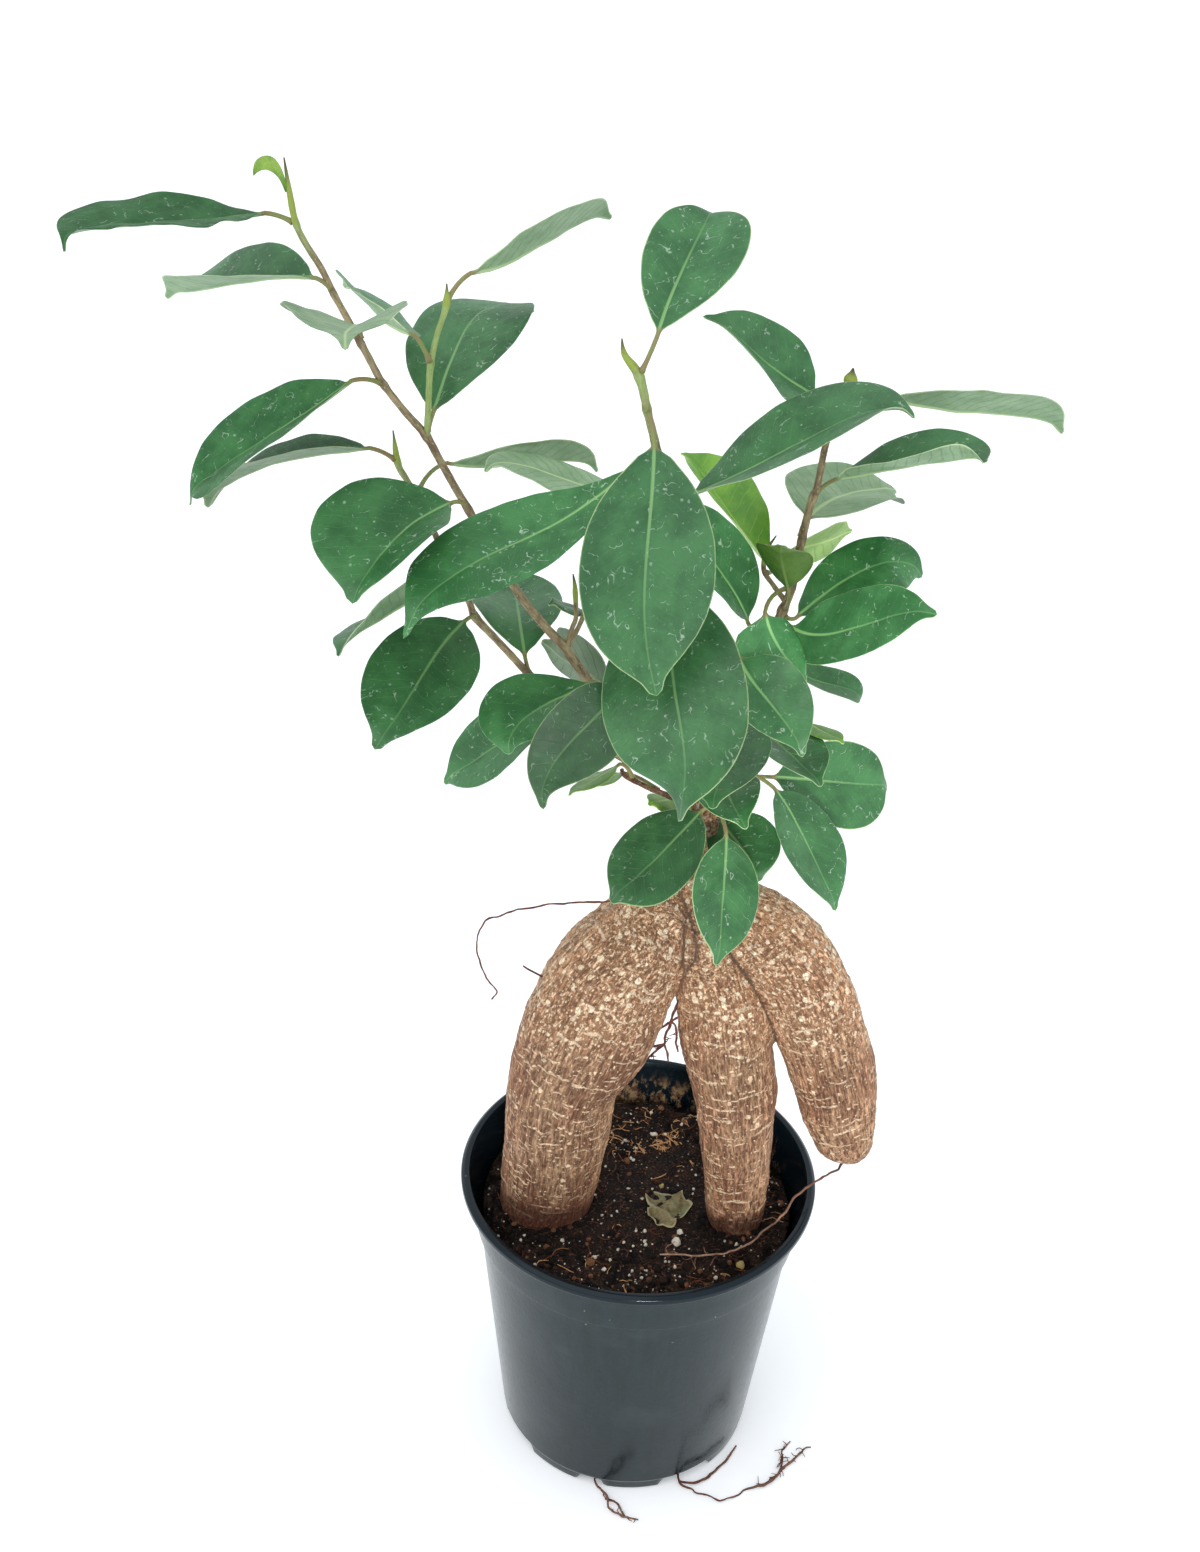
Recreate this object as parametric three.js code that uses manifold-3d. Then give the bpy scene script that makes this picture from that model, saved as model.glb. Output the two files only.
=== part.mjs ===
// Ficus ginseng bonsai in its round nursery pot. Millimetres, +Z up, the front of the
// plant faces -Y. The origin is the centre of the pot's underside, on the ground.
import * as THREE from 'three';
import Module from 'manifold-3d';

// ---------------------------------------------------------------- driving dimensions
const RIM_R = 52.5;          // outer radius of the pot's rolled rim
const POT_H = 94.3;          // height of the pot
const COLLAR_Z = 77;         // step under the collar
const FOOT_R = 38.4;         // outer radius of the foot ring
const FOOT_H = 3;            // height of the ground gaps between the feet
const GAPS = [[-105, 6], [-60, 13]]; // gaps in the foot ring [centre, half width] in degrees, repeated every quarter turn
const FLOOR_Z = 6;           // top of the pot's floor
const HOLE_R = 3;            // drain holes
const HOLE_AT = 29.5;        // radius of the drain hole circle
const SOIL_Z = 82;           // level of the soil
const GAP = 0.35;            // clearance between neighbouring pieces
const SEG = 50;              // facets around the pot
const LEAF_T = 0.7;          // blade thickness
const STALK_R = 0.62;        // leaf stalk radius

// Swollen roots: stations [x, y, z, radius] from the crown down.
const LEFT_ROOT = [[9,0.5,183,8.5],[1.7,1,187.5,10.5],[-2.9,0,178.1,14.5],[-10.6,-3,165.4,17.7],[-16.9,-5,150,18.6],[-22.7,-5,131.1,16],
  [-24.4,-3,110.7,15.2],[-25.8,-1,91.9,14],[-25.9,0,80.7,13.2],[-25.6,0,72,10.5]];
const MIDDLE_ROOT = [[11,1,187,8.5],[12.3,1,184.9,9.8],[16.4,0,172.5,11],[19.8,-3,162.3,12.5],[22.4,-6,148,13.3],[25.3,-8,131.2,12],
  [27.1,-8.5,114.7,10.6],[28.1,-8,99.1,9.6],[29,-7.5,86.2,8.1],[29.4,-7,73.5,6]];
const RIGHT_ROOT = [[11,0.5,184,8.5],[18.1,1,187.6,9.3],[31.1,0,179.3,12.3],[41,-3,167.8,12.8],[47.8,-5,152.9,12.3],[52.4,-6,139.1,11.8],
  [55.4,-6.5,125.8,10.7],[58,-6.5,115.6,8.6],[59.1,-6.5,110.2,6.2]];
const TRUNK = [[9.3,0,178,9.5],[9.3,0,184,8.8],[9.2,0.3,190,7],[9.6,0.4,198,5.4],[10.2,0.3,208,4.7],[11.2,0,218,4.6],[12.2,-0.2,224.5,4.4],[12,0,226.6,3]];
const LOW_TWIG = [[8.6,0.6,217.4,1.1],[5.2,2.2,219.9,0.9],[2,3,221,0.8],[-2.6,3,222.7,0.7],[-9.6,3.5,225.9,0.65],[-11,3.5,227.9,0.5]];

// Shoots: stations [x, y, z, radius]; the last station of each is the tip of a bud.
const LEFT_SHOOT = [
  [[8.3,-1,220.6,2],[3.1,-2,228.8,1.9],[-4.2,-3,239.4,1.8],[-12.3,-4,249.1,1.7],[-20.5,-5,258,1.55],[-26.5,-6,267.1,1.45],[-32.3,-6.5,273.9,1.3],[-39.3,-7,283.4,1.25],[-49.7,-8,301.9,1.15],[-56.3,-8.5,313.9,1.1],[-60.2,-9,321.4,1.15],[-65.9,-9,328.1,1],[-70.3,-9,334,1],[-74.2,-9.5,341.7,1],[-80.2,-9,352.8,0.9],[-83.3,-9,359.3,0.9],[-88,-9,367.5,0.85],[-89.5,-9,375.1,0.75],[-90.4,-9,382.6,0.2]],
  [[-60.2,-9,321.4,0.9],[-59.7,-9.6,330.5,0.85],[-59.1,-10,338.8,0.9],[-57.6,-10,345.8,0.75],[-55.6,-10,352.4,0.8],[-55.4,-10,357.3,0.2]],
  [[4.2,-0.9,225.6,1.5],[-6.4,1,230.2,1.4],[-17.1,2,236.9,1.35],[-27.7,1,247.4,1.25],[-36.3,0,257.1,1.15],[-43.2,-1,265.5,1.1],[-49.1,-2,272.6,1.2],[-50.8,-2.5,277.1,1],[-54.2,-3,284.3,1],[-57.8,-3.5,292.3,0.95],[-61.6,-4,301.3,0.9],[-65.5,-4.5,308.9,0.9],[-67.5,-5,313.2,0.9],[-68.5,-5,321.1,0.2]],
  [[-26.5,-6,267.7,0.9],[-25.2,-4,272,0.75],[-24.4,-2,274.3,0.7],[-24.9,2,279.5,0.65],[-25.6,4,282.9,0.2]],
  [[-26.5,-6,267.1,0.9],[-24.5,-2,269.4,0.75],[-22.5,3,272.6,0.7],[-21.7,6,276.8,0.2]]];
const CENTRE_SHOOT = [
  [[10.2,-1,223.5,1.9],[8.5,-3,232.7,1.8],[5.9,-6,248.8,1.7],[2.5,-9,269.8,1.6],[-0.7,-12,289.7,1.5],[-3.9,-14,308.1,1.35],[-7.3,-15,323.4,1.25],[-9.8,-15.5,332.5,1.15],[-12,-16,340.4,1.3],[-15.4,-16,345,0.8],[-16.2,-16,348.6,0.2]]];
const RIGHT_SHOOT = [
  [[12.7,1,221.8,1.9],[17.9,2,237.8,1.8],[22.1,3,250.6,1.6],[24.6,3.5,263.4,1.5],[26.4,4,273.5,1.35],[28.5,5,280,1.25],[30,6,292,1.2],[31.5,7,302.4,1.2],[33,8,308.1,1.05],[33.9,9,316.9,1],[36.6,11,326.8,0.95],[38.2,12,330.8,1.3],[38.7,12,333.6,1.2],[38.9,12,335.4,0.4]],
  [[28,5,277.3,0.9],[24.3,7,281.1,0.75],[21.9,9,284.1,0.7],[22.1,10,288.6,0.6],[24.2,10,293,0.2]]];

// Hair-thin roots: the one leaving the crown on the left, the short stub on the flank of the
// left root (grown in one with it), the one hanging over the pot from
// the blunt right root, the tuft in the arch, and the two that come out of the drain holes.
const CROWN_HAIR = [[-4,-4,188.8,0.45],[-7.6,-6.0,192.3,0.45],[-12.0,-9.0,194.9,0.44],[-16.2,-11.0,195.9,0.44],[-21.0,-12.0,196.3,0.43],[-25.9,-12.5,195.7,0.43],[-30.9,-13.0,194.8,0.42],[-36.1,-13.5,193.9,0.42],[-39.3,-14.0,193.2,0.41],[-41.6,-14.0,191.9,0.41],[-44.0,-14.5,191.5,0.4],[-45.5,-15.0,190.5,0.4],[-46.8,-15.5,187.9,0.39],[-47.5,-16.0,184.6,0.39],[-47.5,-16.0,181.7,0.38],[-46.6,-16.5,178.2,0.38],[-45.2,-17.0,174.7,0.37],[-43.6,-17.0,172.2,0.37],[-42.1,-17.0,170.4,0.36],[-41.7,-17.0,169.1,0.36],[-43.0,-17.0,166.9,0.35]];
const FLANK_HAIR = [[-26.2,-5.0,163.9,0.45],[-29.8,-5.0,166.1,0.42],[-32.0,-5.3,167.6,0.4],[-34.0,-5.6,169.0,0.38],[-35.2,-6.0,170.2,0.35]];
const END_HAIR = [[59.4,-7,109.5,0.5],[58.2,-7.3,104.4,0.5],[54.5,-8,101.6,0.45],[50.8,-9,99.9,0.45],[46.4,-12,97.8,0.45],[42.3,-16,94,0.45],[36.4,-20,90.4,0.42],[31.5,-22.4,87.4,0.42],[26.6,-24,85.3,0.4],[19.6,-25,84.4,0.38],[7,-25,84.2,0.35]];
const ARCH_HAIR = [
  [[10.1,-7.0,165.7,0.5],[8.6,-7.0,163.3,0.49],[7.4,-7.0,160.1,0.47],[6.7,-7.0,157.3,0.46],[6.1,-7.0,154.5,0.45]],
  [[6.1,-7.0,154.5,0.5],[5.7,-7.0,151.7,0.47],[5.0,-7.0,148.9,0.45],[4.6,-7.0,146.4,0.42],[2.8,-6.6,143.7,0.4],[1.5,-6.3,141.7,0.38],[0.4,-6.0,140.0,0.35]],
  [[10.6,-7.0,156.9,0.42],[8.8,-7.0,156.1,0.42],[7.4,-7.0,155.5,0.41],[6.1,-7.0,154.5,0.41],[5.3,-7.0,154.1,0.41],[4.0,-6.5,152.3,0.41],[2.4,-6.0,150.6,0.4],[0.0,-5.5,148.5,0.4]],
  [[6.1,-7.0,154.5,0.45],[7.3,-7.2,153.4,0.43],[7.9,-7.4,151.5,0.41],[8.2,-7.5,149.1,0.39],[8.1,-7.5,146.6,0.37],[8.6,-7.5,144.4,0.35]],
  [[4.6,-7.0,146.4,0.42],[2.1,-6.6,145.2,0.41],[0.4,-6.2,145.9,0.39],[-2.1,-5.5,146.6,0.38]],
  [[4.6,-7.0,146.4,0.42],[5.4,-7.0,144.0,0.39],[6.1,-7.0,140.4,0.35]]];
const DRAIN_RIGHT = [
  [[14.8,-25.6,4.6,0.5],[14.9,-26.2,2,0.5],[16.2,-31,1.3,0.55],[17.4,-35.6,1,0.55],[20.8,-38.2,0.8,0.5],[25,-40.4,0.7,0.45],[29.2,-42.1,0.7,0.45],[34.6,-39.3,0.7,0.45],[39.8,-36.1,0.9,0.6],[44.5,-34.7,1.1,0.8],[48.7,-30,1,0.7],[53.4,-24.5,0.8,0.55],[56.4,-20.8,0.7,0.45],[58.6,-20.2,0.7,0.35]],
  [[48.7,-30,1,0.5],[49.2,-26.4,0.8,0.42],[49.9,-21.4,0.7,0.42],[52.3,-18.4,0.7,0.35]],
  [[17.4,-35.6,1,0.5],[21.6,-35.8,0.9,0.6],[25.6,-33.8,1.1,0.7],[31.2,-28.2,1.2,0.6],[35.2,-21.4,1.2,0.45]]];
const DRAIN_LEFT = [
  [[-7.6,-28.5,4.6,0.5],[-7.7,-29.1,2,0.5],[-8.3,-33.2,1.4,0.5],[-7.7,-38.2,0.9,0.5],[-5,-42.9,0.8,0.55],[-4.3,-46.4,0.7,0.5],[-0.1,-48.7,0.7,0.45],[4.7,-49.8,0.7,0.35]],
  [[-5,-42.9,0.8,0.5],[-1.6,-44.4,0.8,0.5],[0.6,-48.6,0.7,0.45]]];

// Leaves: [name, young, frame rule, midrib Bezier points, frame vector, twist, left and right
// half width, fold angle, curl, width profile exponent, stalk start, stalk control point].
const LEAVES = [
  ['leaf_left_01',0,1,[[-95.21,-9.0,370.76],[-107.97,-21.96,370.35],[-129.48,-30.42,372.98],[-132.0,-39.46,370.82]],[-0.4425,-0.309,0.8418],-0.013,13.41,13.58,0.278,-0.069,1.037,[-89.78,-8.17,369.26],[-92.69,-6.44,370.84]],
  ['leaf_left_02',0,1,[[-84.61,-9.0,357.08],[-98.7,-2.47,355.81],[-111.07,-0.12,350.11],[-122.89,10.25,347.16]],[0.4885,-0.3774,0.7868],-0.187,12.06,12.08,0.246,-0.051,1.05,[-81.48,-9.48,355.46],[-82.33,-10.06,357.28]],
  ['leaf_left_03',0,0,[[-74.96,-10.96,347.32],[-74.39,-26.24,351.56],[-73.72,-41.21,354.79],[-71.39,-55.86,357.86]],[-0.9941,-0.0954,-0.0519],0.08,13.56,14.94,0.366,0.05,1.022,[-74.94,-9.1,344.83],[-75.04,-8.73,346.7]],
  ['leaf_left_04',0,0,[[-62.9,-11.0,346.07],[-71.58,-0.23,344.07],[-76.38,12.49,347.96],[-82.53,23.68,347.23]],[0.6875,0.4398,-0.5779],0.091,10.75,10.41,0.223,-0.034,1.023,[-59.39,-10.86,340.45],[-60.35,-14.17,346.66]],
  ['leaf_left_05',0,0,[[-59.05,-6.0,326.2],[-54.2,9.47,339.22],[-52.89,19.74,348.42],[-37.91,29.56,341.56]],[0.8593,-0.4882,0.1524],-0.006,16.03,16.19,0.048,-0.017,1.034,[-59.87,-8.42,323.41],[-59.72,-8.14,324.4]],
  ['leaf_left_06',0,0,[[-50.4,-6.0,358.94],[-38.21,3.57,358.83],[-29.38,15.02,367.48],[-20.3,23.95,366.19]],[0.4313,-0.667,0.6075],-0.269,11.75,11.83,0.283,-0.064,1.02,[-55.2,-9.71,354.11],[-54.03,-8.85,358.97]],
  ['leaf_left_07',0,0,[[-77.1,-11.0,334.6],[-90.77,-10.41,322.94],[-109.16,-7.51,312.07],[-118.99,-6.83,302.21]],[-0.106,0.9724,0.2079],0.245,14.77,14.18,0.278,0.009,1.052,[-71.17,-9.65,334.43],[-74.17,-11.13,337.09]],
  ['leaf_left_08',0,1,[[-74.22,-5.0,316.62],[-91.1,-0.18,312.33],[-104.9,-2.97,310.92],[-115.78,3.57,297.22]],[0.1128,-0.0301,0.9932],-0.002,13.31,12.86,0.178,-0.084,1.065,[-68.57,-5.34,314.69],[-70.7,-6.01,317.52]],
  ['leaf_left_09',0,0,[[-53.81,-10.23,306.2],[-66.13,-17.26,302.6],[-68.96,-29.81,300.73],[-74.56,-39.29,293.04]],[-0.8123,0.5826,0.025],-0.174,15.37,18.55,0.357,0.078,0.999,[-51.47,-8.74,305.56],[-51.92,-9.15,306.76]],
  ['leaf_centre_01',0,1,[[-13.03,-18.08,319.52],[-31.32,-25.45,299.89],[-50.85,-30.84,305.93],[-62.91,-46.21,288.74]],[-0.4628,-0.4348,0.7725],0.068,13.92,13.65,0.153,-0.053,1.16,[-8.82,-16.04,321.97],[-10.64,-17.12,322.09]],
  ['leaf_left_10',0,0,[[-57.8,-4.0,284.61],[-63.59,-16.04,280.98],[-72.96,-26.07,282.54],[-78.59,-37.87,279.12]],[-0.5265,0.4464,-0.7235],0.277,9.93,10.17,0.295,0.001,1.015,[-54.78,-2.41,283.63],[-56.73,-1.78,285.28]],
  ['leaf_left_11',0,0,[[-51.26,-6.0,273.8],[-60.0,-17.42,269.03],[-61.44,-30.6,263.86],[-69.27,-44.29,258.64]],[-0.9165,0.3715,0.1486],-0.09,13.28,13.28,0.188,-0.029,0.932,[-49.67,-3.56,273.94],[-49.9,-4.23,274.54]],
  ['leaf_left_12',0,0,[[-36.97,2.0,260.43],[-40.69,15.73,271.77],[-39.58,28.94,259.84],[-44.76,41.02,267.97]],[0.9847,0.1704,-0.0372],0.193,12.51,12.03,0.188,0.012,1.009,[-36.09,0.08,257.9],[-36.45,0.06,258.82]],
  ['leaf_left_13',0,0,[[-57.17,8.0,308.89],[-43.6,13.13,304.86],[-29.43,21.24,309.32],[-20.43,24.33,303.22]],[0.3197,-0.8014,0.5055],-0.015,9.14,9.48,0.399,-0.015,1.05,[-63.15,-2.63,305.42],[-63.48,5.61,310.76]],
  ['leaf_centre_02',0,0,[[-12.09,-0.46,306.63],[-26.04,-3.64,306.47],[-40.26,1.77,315.71],[-47.53,-4.05,312.6]],[-0.0373,0.9987,-0.0358],-0.171,12.3,11.87,0.115,-0.083,1.006,[-4.84,-12.19,311.55],[-5.27,1.1,306.71]],
  ['leaf_left_14',0,0,[[-22.35,9.0,270.41],[-25.28,6.44,272.32],[-28.18,3.93,274.34],[-31.04,1.48,276.48]],[-0.5864,0.7965,0.1472],0.019,3.39,3.37,0.067,-0.009,1.001,[-21.96,4.83,272.4],[-20.27,10.82,269.05]],
  ['leaf_left_15',0,1,[[-16.13,8.0,248.98],[-21.31,15.56,252.89],[-28.47,23.74,247.37],[-33.08,30.62,251.52]],[0.0211,0.9819,0.1884],0.072,10.39,10.26,0.137,0.021,0.94,[-12.52,-1.51,248.23],[-12.85,3.23,246.51]],
  ['leaf_left_16',0,0,[[-19.71,-9.01,259.85],[-29.87,-15.3,255.81],[-39.45,-19.77,255.91],[-39.41,-27.54,249.04]],[-0.7,0.7066,0.1034],0.127,10.14,12.32,0.14,0.083,1.148,[-17.32,-5.61,257.06],[-16.86,-7.25,260.99]],
  ['leaf_left_17',0,1,[[-12.41,-23.34,267.03],[-17.14,-28.55,258.55],[-31.39,-29.6,251.35],[-30.41,-38.67,240.39]],[-0.289,-0.9444,0.1569],-0.171,10.56,8.9,0.239,0.005,0.741,[-13.94,-5.79,253.46],[-9.41,-20.03,272.42]],
  ['leaf_left_18',0,0,[[-25.96,-8.13,252.33],[-37.74,-5.73,244.19],[-46.41,-5.66,235.03],[-57.68,-5.0,227.1]],[-0.1701,0.9302,0.3252],0.241,11.15,11.2,0.196,-0.004,1.044,[-25.72,-0.39,247.51],[-21.43,-9.05,255.47]],
  ['leaf_low_01',1,0,[[-11.6,2.0,230.58],[-15.88,-1.33,229.11],[-20.2,-4.81,227.47],[-24.97,-7.41,226.94]],[-0.4488,0.8028,-0.3925],0.09,4.79,4.73,-0.03,-0.026,1.009,[-8.39,3.54,226.74],[-9.09,3.95,231.44]],
  ['leaf_low_02',1,0,[[-10.34,8.26,224.32],[-14.18,5.25,224.96],[-17.16,1.79,224.48],[-20.2,-1.16,225.32]],[-0.6861,0.7135,-0.142],0.278,4.63,4.76,0.1,0.004,1.052,[-1.56,4.43,222.23],[-5.96,11.69,223.6]],
  ['leaf_low_03',1,0,[[3.89,8.0,217.5],[1.51,5.3,218.35],[-0.9,2.57,219.24],[-3.23,0.22,220.52]],[-0.6843,0.7053,0.1849],0.121,4.42,4.36,-0.107,-0.019,1.013,[9.36,5.38,216.12],[7.35,11.93,216.26]],
  ['leaf_centre_03',0,0,[[-8.3,-15.0,349.78],[-5.49,-2.8,357.8],[1.4,7.75,368.39],[3.44,18.24,369.94]],[0.9631,-0.2393,-0.1236],0.062,10.46,13.78,0.342,-0.05,1.113,[-11.24,-16.9,342.31],[-9.26,-19.16,347.05]],
  ['leaf_centre_04',0,0,[[-7.98,-22.0,327.13],[-7.18,-31.36,306.53],[-11.41,-32.79,292.08],[-4.51,-42.9,274.42]],[-0.9964,-0.072,-0.0442],-0.081,15.97,15.53,0.21,0.016,0.952,[-9.15,-17.4,331.9],[-8.14,-20.22,331.05]],
  ['leaf_centre_05',0,1,[[-0.19,-15.16,288.52],[-5.47,-35.73,272.36],[7.77,-50.53,264.33],[0.71,-55.57,249.28]],[-0.3138,0.1019,0.944],-0.031,16.75,17.97,-0.007,-0.039,0.74,[0.11,-13.25,290.17],[0.27,-13.37,289.92]],
  ['leaf_right_01',0,0,[[32.32,21.16,325.23],[21.85,17.77,330.23],[15.01,13.91,338.93],[3.16,11.25,347.46]],[0.0871,0.8602,0.5024],-0.499,11.84,10.95,0.391,-0.038,0.866,[36.45,12.64,325.43],[37.14,22.73,322.92]],
  ['leaf_centre_06',0,1,[[1.27,-12.0,311.3],[21.25,-13.27,319.98],[40.4,-4.71,336.33],[51.9,-8.75,332.13]],[0.2792,0.0134,0.9601],-0.001,15.39,16.07,0.339,-0.038,0.951,[-2.5,-12.63,309.32],[-1.66,-11.81,310.02]],
  ['leaf_right_02',0,0,[[48.23,14.0,328.61],[64.99,14.82,322.72],[83.71,21.42,326.18],[94.26,24.7,318.5]],[0.2753,-0.8581,0.4335],-0.01,11.42,11.96,0.382,-0.065,0.991,[39.66,12.47,330.07],[43.23,13.76,330.38]],
  ['leaf_right_03',0,1,[[37.21,8.0,309.31],[47.52,-0.99,315.78],[65.22,-5.42,321.44],[67.43,-15.51,324.8]],[0.3113,-0.3601,0.8794],0.011,10.42,10.2,0.379,-0.021,1.051,[33.26,8.51,306.07],[34.87,10.04,307.83]],
  ['leaf_right_04',0,1,[[31.17,9.75,297.66],[40.62,20.5,302.7],[45.33,32.8,295.68],[57.26,39.65,296.23]],[-0.4102,-0.5434,0.7324],-0.069,15.47,14.43,0.142,0.046,0.887,[29.72,7.05,295.32],[29.4,7.74,296.72]],
  ['leaf_right_05',1,0,[[24.06,17.09,281.81],[14.59,24.42,289.19],[8.33,32.78,297.41],[0.95,39.22,303.56]],[0.5869,0.7893,-0.1804],0.179,11.61,11.55,0.442,0.03,1.061,[22.99,9.93,282.92],[27.0,14.81,279.52]],
  ['leaf_right_06',0,0,[[18.56,2.91,272.26],[13.46,4.63,285.2],[3.52,5.42,290.66],[-5.28,8.85,302.92]],[0.4156,0.8946,0.1643],-0.022,12.16,12.39,0.287,0.048,0.955,[22.92,3.05,267.03],[20.2,2.36,268.12]],
  ['leaf_right_07',1,0,[[27.6,-1.0,282.96],[25.96,-1.61,288.79],[24.4,-2.87,293.2],[24.21,-5.32,296.02]],[0.8735,-0.4769,0.0976],-0.26,8.07,7.14,-0.213,-0.12,1.195,[27.81,2.44,277.05],[28.78,-0.56,278.74]],
  ['leaf_right_08',1,0,[[27.85,13.0,287.59],[33.04,18.74,288.08],[40.83,23.22,286.27],[44.39,29.49,288.04]],[0.2895,-0.3993,0.8699],0.163,7.27,7.15,-0.055,-0.02,1.0,[28.15,7.25,288.43],[25.31,10.19,287.34]],
  ['leaf_right_09',0,1,[[30.63,5.0,273.26],[40.61,11.52,281.02],[55.44,17.16,290.66],[63.62,17.06,280.73]],[-0.207,-0.4351,0.8763],-0.091,9.58,10.89,0.068,-0.032,1.045,[28.22,4.1,273.4],[29.12,4.02,272.09]],
  ['leaf_right_10',0,0,[[29.17,3.56,271.65],[38.0,-7.18,269.44],[49.49,-7.65,283.11],[61.33,-15.56,286.03]],[-0.2144,-0.7836,-0.583],0.093,10.64,10.72,0.18,-0.009,0.903,[28.23,4.81,271.89],[28.81,5.06,271.73]],
  ['leaf_right_11',0,0,[[29.03,6.0,260.92],[36.14,4.54,252.68],[47.83,7.01,255.35],[50.2,6.47,249.68]],[-0.1451,-0.9854,-0.0891],-0.298,6.45,6.63,0.238,-0.013,1.126,[26.06,5.24,264.66],[26.78,6.46,263.54]],
  ['leaf_right_12',1,0,[[21.62,-6.98,280.05],[23.08,-9.27,274.69],[27.01,-12.45,269.94],[32.9,-14.62,265.68]],[-0.7823,-0.5263,-0.3332],-0.003,7.23,10.01,-0.193,-0.096,0.836,[27.33,3.63,282.05],[19.93,-4.3,286.29]],
  ['leaf_right_13',0,0,[[15.44,-13.53,271.32],[19.1,-18.63,264.22],[27.09,-19.53,260.31],[32.34,-27.07,251.68]],[-0.8244,-0.373,-0.4258],0.301,10.46,8.44,0.323,0.034,0.851,[4.09,-10.48,274.55],[11.3,-12.6,273.6]],
  ['leaf_right_14',1,0,[[36.06,6.0,243.34],[38.81,2.15,243.23],[41.72,-1.54,243.45],[44.82,-4.81,244.43]],[-0.774,-0.6276,0.0832],-0.101,3.84,3.96,0.105,-0.038,1.01,[22.69,4.28,245.53],[31.99,11.69,243.49]],
  ['leaf_right_15',0,0,[[25.72,5.35,239.31],[30.01,-2.32,240.63],[32.95,-11.0,240.38],[38.52,-19.12,239.8]],[-0.8857,-0.4641,0.0092],-0.041,9.06,9.01,0.268,0.052,0.94,[20.93,4.34,241.57],[23.87,8.66,238.74]],
  ['leaf_right_16',0,0,[[28.68,6.0,226.45],[40.35,11.25,223.37],[53.83,15.06,219.65],[62.73,21.38,216.79]],[0.0313,-0.5952,-0.803],-0.054,11.4,13.26,0.248,-0.011,1.059,[17.76,2.08,228.67],[22.48,3.21,228.09]],
  ['leaf_right_17',0,0,[[28.63,-2.0,227.78],[36.01,-7.81,220.43],[39.28,-16.99,214.08],[46.08,-22.72,204.71]],[-0.6721,-0.7263,0.144],0.004,11.44,11.35,0.149,0.009,0.95,[18.58,1.51,231.55],[24.36,1.36,232.02]],
  ['leaf_right_18',0,0,[[20.86,-1.0,247.5],[17.65,-10.89,243.98],[13.49,-19.72,241.3],[10.71,-29.94,238.15]],[-0.8865,0.3922,-0.2457],-0.108,10.68,10.56,0.119,-0.015,0.998,[21.67,1.54,248.59],[21.62,1.36,248.34]],
  ['leaf_right_19',0,0,[[14.86,-2.16,231.05],[15.87,-9.85,230.58],[16.23,-17.27,231.1],[20.08,-25.53,230.21]],[-0.9641,-0.2041,-0.1697],-0.058,8.88,9.61,0.372,0.027,0.918,[14.94,0.59,231.69],[14.54,0.3,231.2]],
  ['leaf_low_04',0,0,[[10.35,-6.97,223.13],[3.26,-11.28,215.98],[-5.64,-17.21,207.53],[-12.91,-20.8,203.13]],[-0.5786,0.807,0.1184],0.01,13.15,12.88,0.056,-0.016,1.005,[12.7,-5.5,225.49],[12.76,-6.15,225.55]],
  ['leaf_low_05',0,0,[[16.22,-14.0,220.8],[16.48,-21.4,209.54],[15.48,-25.37,205.59],[15.65,-34.91,194.04]],[-0.8273,-0.4323,0.3588],0.217,11.15,11.28,0.148,-0.022,0.992,[13.61,-4.54,223.49],[16.08,-10.16,226.65]],
  ['leaf_low_06',0,0,[[14.56,4.0,216.11],[17.91,-2.98,212.96],[24.42,-9.05,211.43],[25.39,-15.66,208.0]],[-0.8794,-0.3596,-0.3119],0.026,10.1,8.64,0.117,0.038,1.089,[12.48,4.27,219.95],[12.86,7.53,217.7]],
];

// ---------------------------------------------------------------- materials
const mat = (hex, rough) => new THREE.MeshStandardMaterial({ color: hex, roughness: rough, metalness: 0 });
const wasm = await Module();
wasm.setup();
const { Manifold, Mesh } = wasm;

const V = (x, y, z) => new THREE.Vector3(x, y, z);
const part = new THREE.Group();
part.name = 'ficus_ginseng_bonsai';

// ---------------------------------------------------------------- solid builders
// Closed body from rings of equal length with a pole at each end. From facet index turn on,
// the quads are split along their other diagonal, so both faces of a thin blade fold alike.
function ringBody(rings, poleA, poleB, turn = Infinity) {
  const n = rings[0].length, pos = [], tri = [];
  rings.forEach(r => r.forEach(p => pos.push(p.x, p.y, p.z)));
  for (let k = 0; k + 1 < rings.length; k++) for (let i = 0; i < n; i++) {
    const a = k * n + i, b = k * n + (i + 1) % n, c = a + n, d = b + n;
    if (i < turn) tri.push(a, b, d, a, d, c);
    else tri.push(a, b, c, b, d, c);
  }
  const last = (rings.length - 1) * n, iA = pos.length / 3;
  pos.push(poleA.x, poleA.y, poleA.z, poleB.x, poleB.y, poleB.z);
  for (let i = 0; i < n; i++) {
    tri.push(iA, (i + 1) % n, i);
    tri.push(iA + 1, last + i, last + (i + 1) % n);
  }
  const mesh = { pos, tri };
  if (signedVolume(mesh) < 0) for (let i = 0; i < tri.length; i += 3) { const t = tri[i]; tri[i] = tri[i + 1]; tri[i + 1] = t; }
  return mesh;
}
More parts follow.
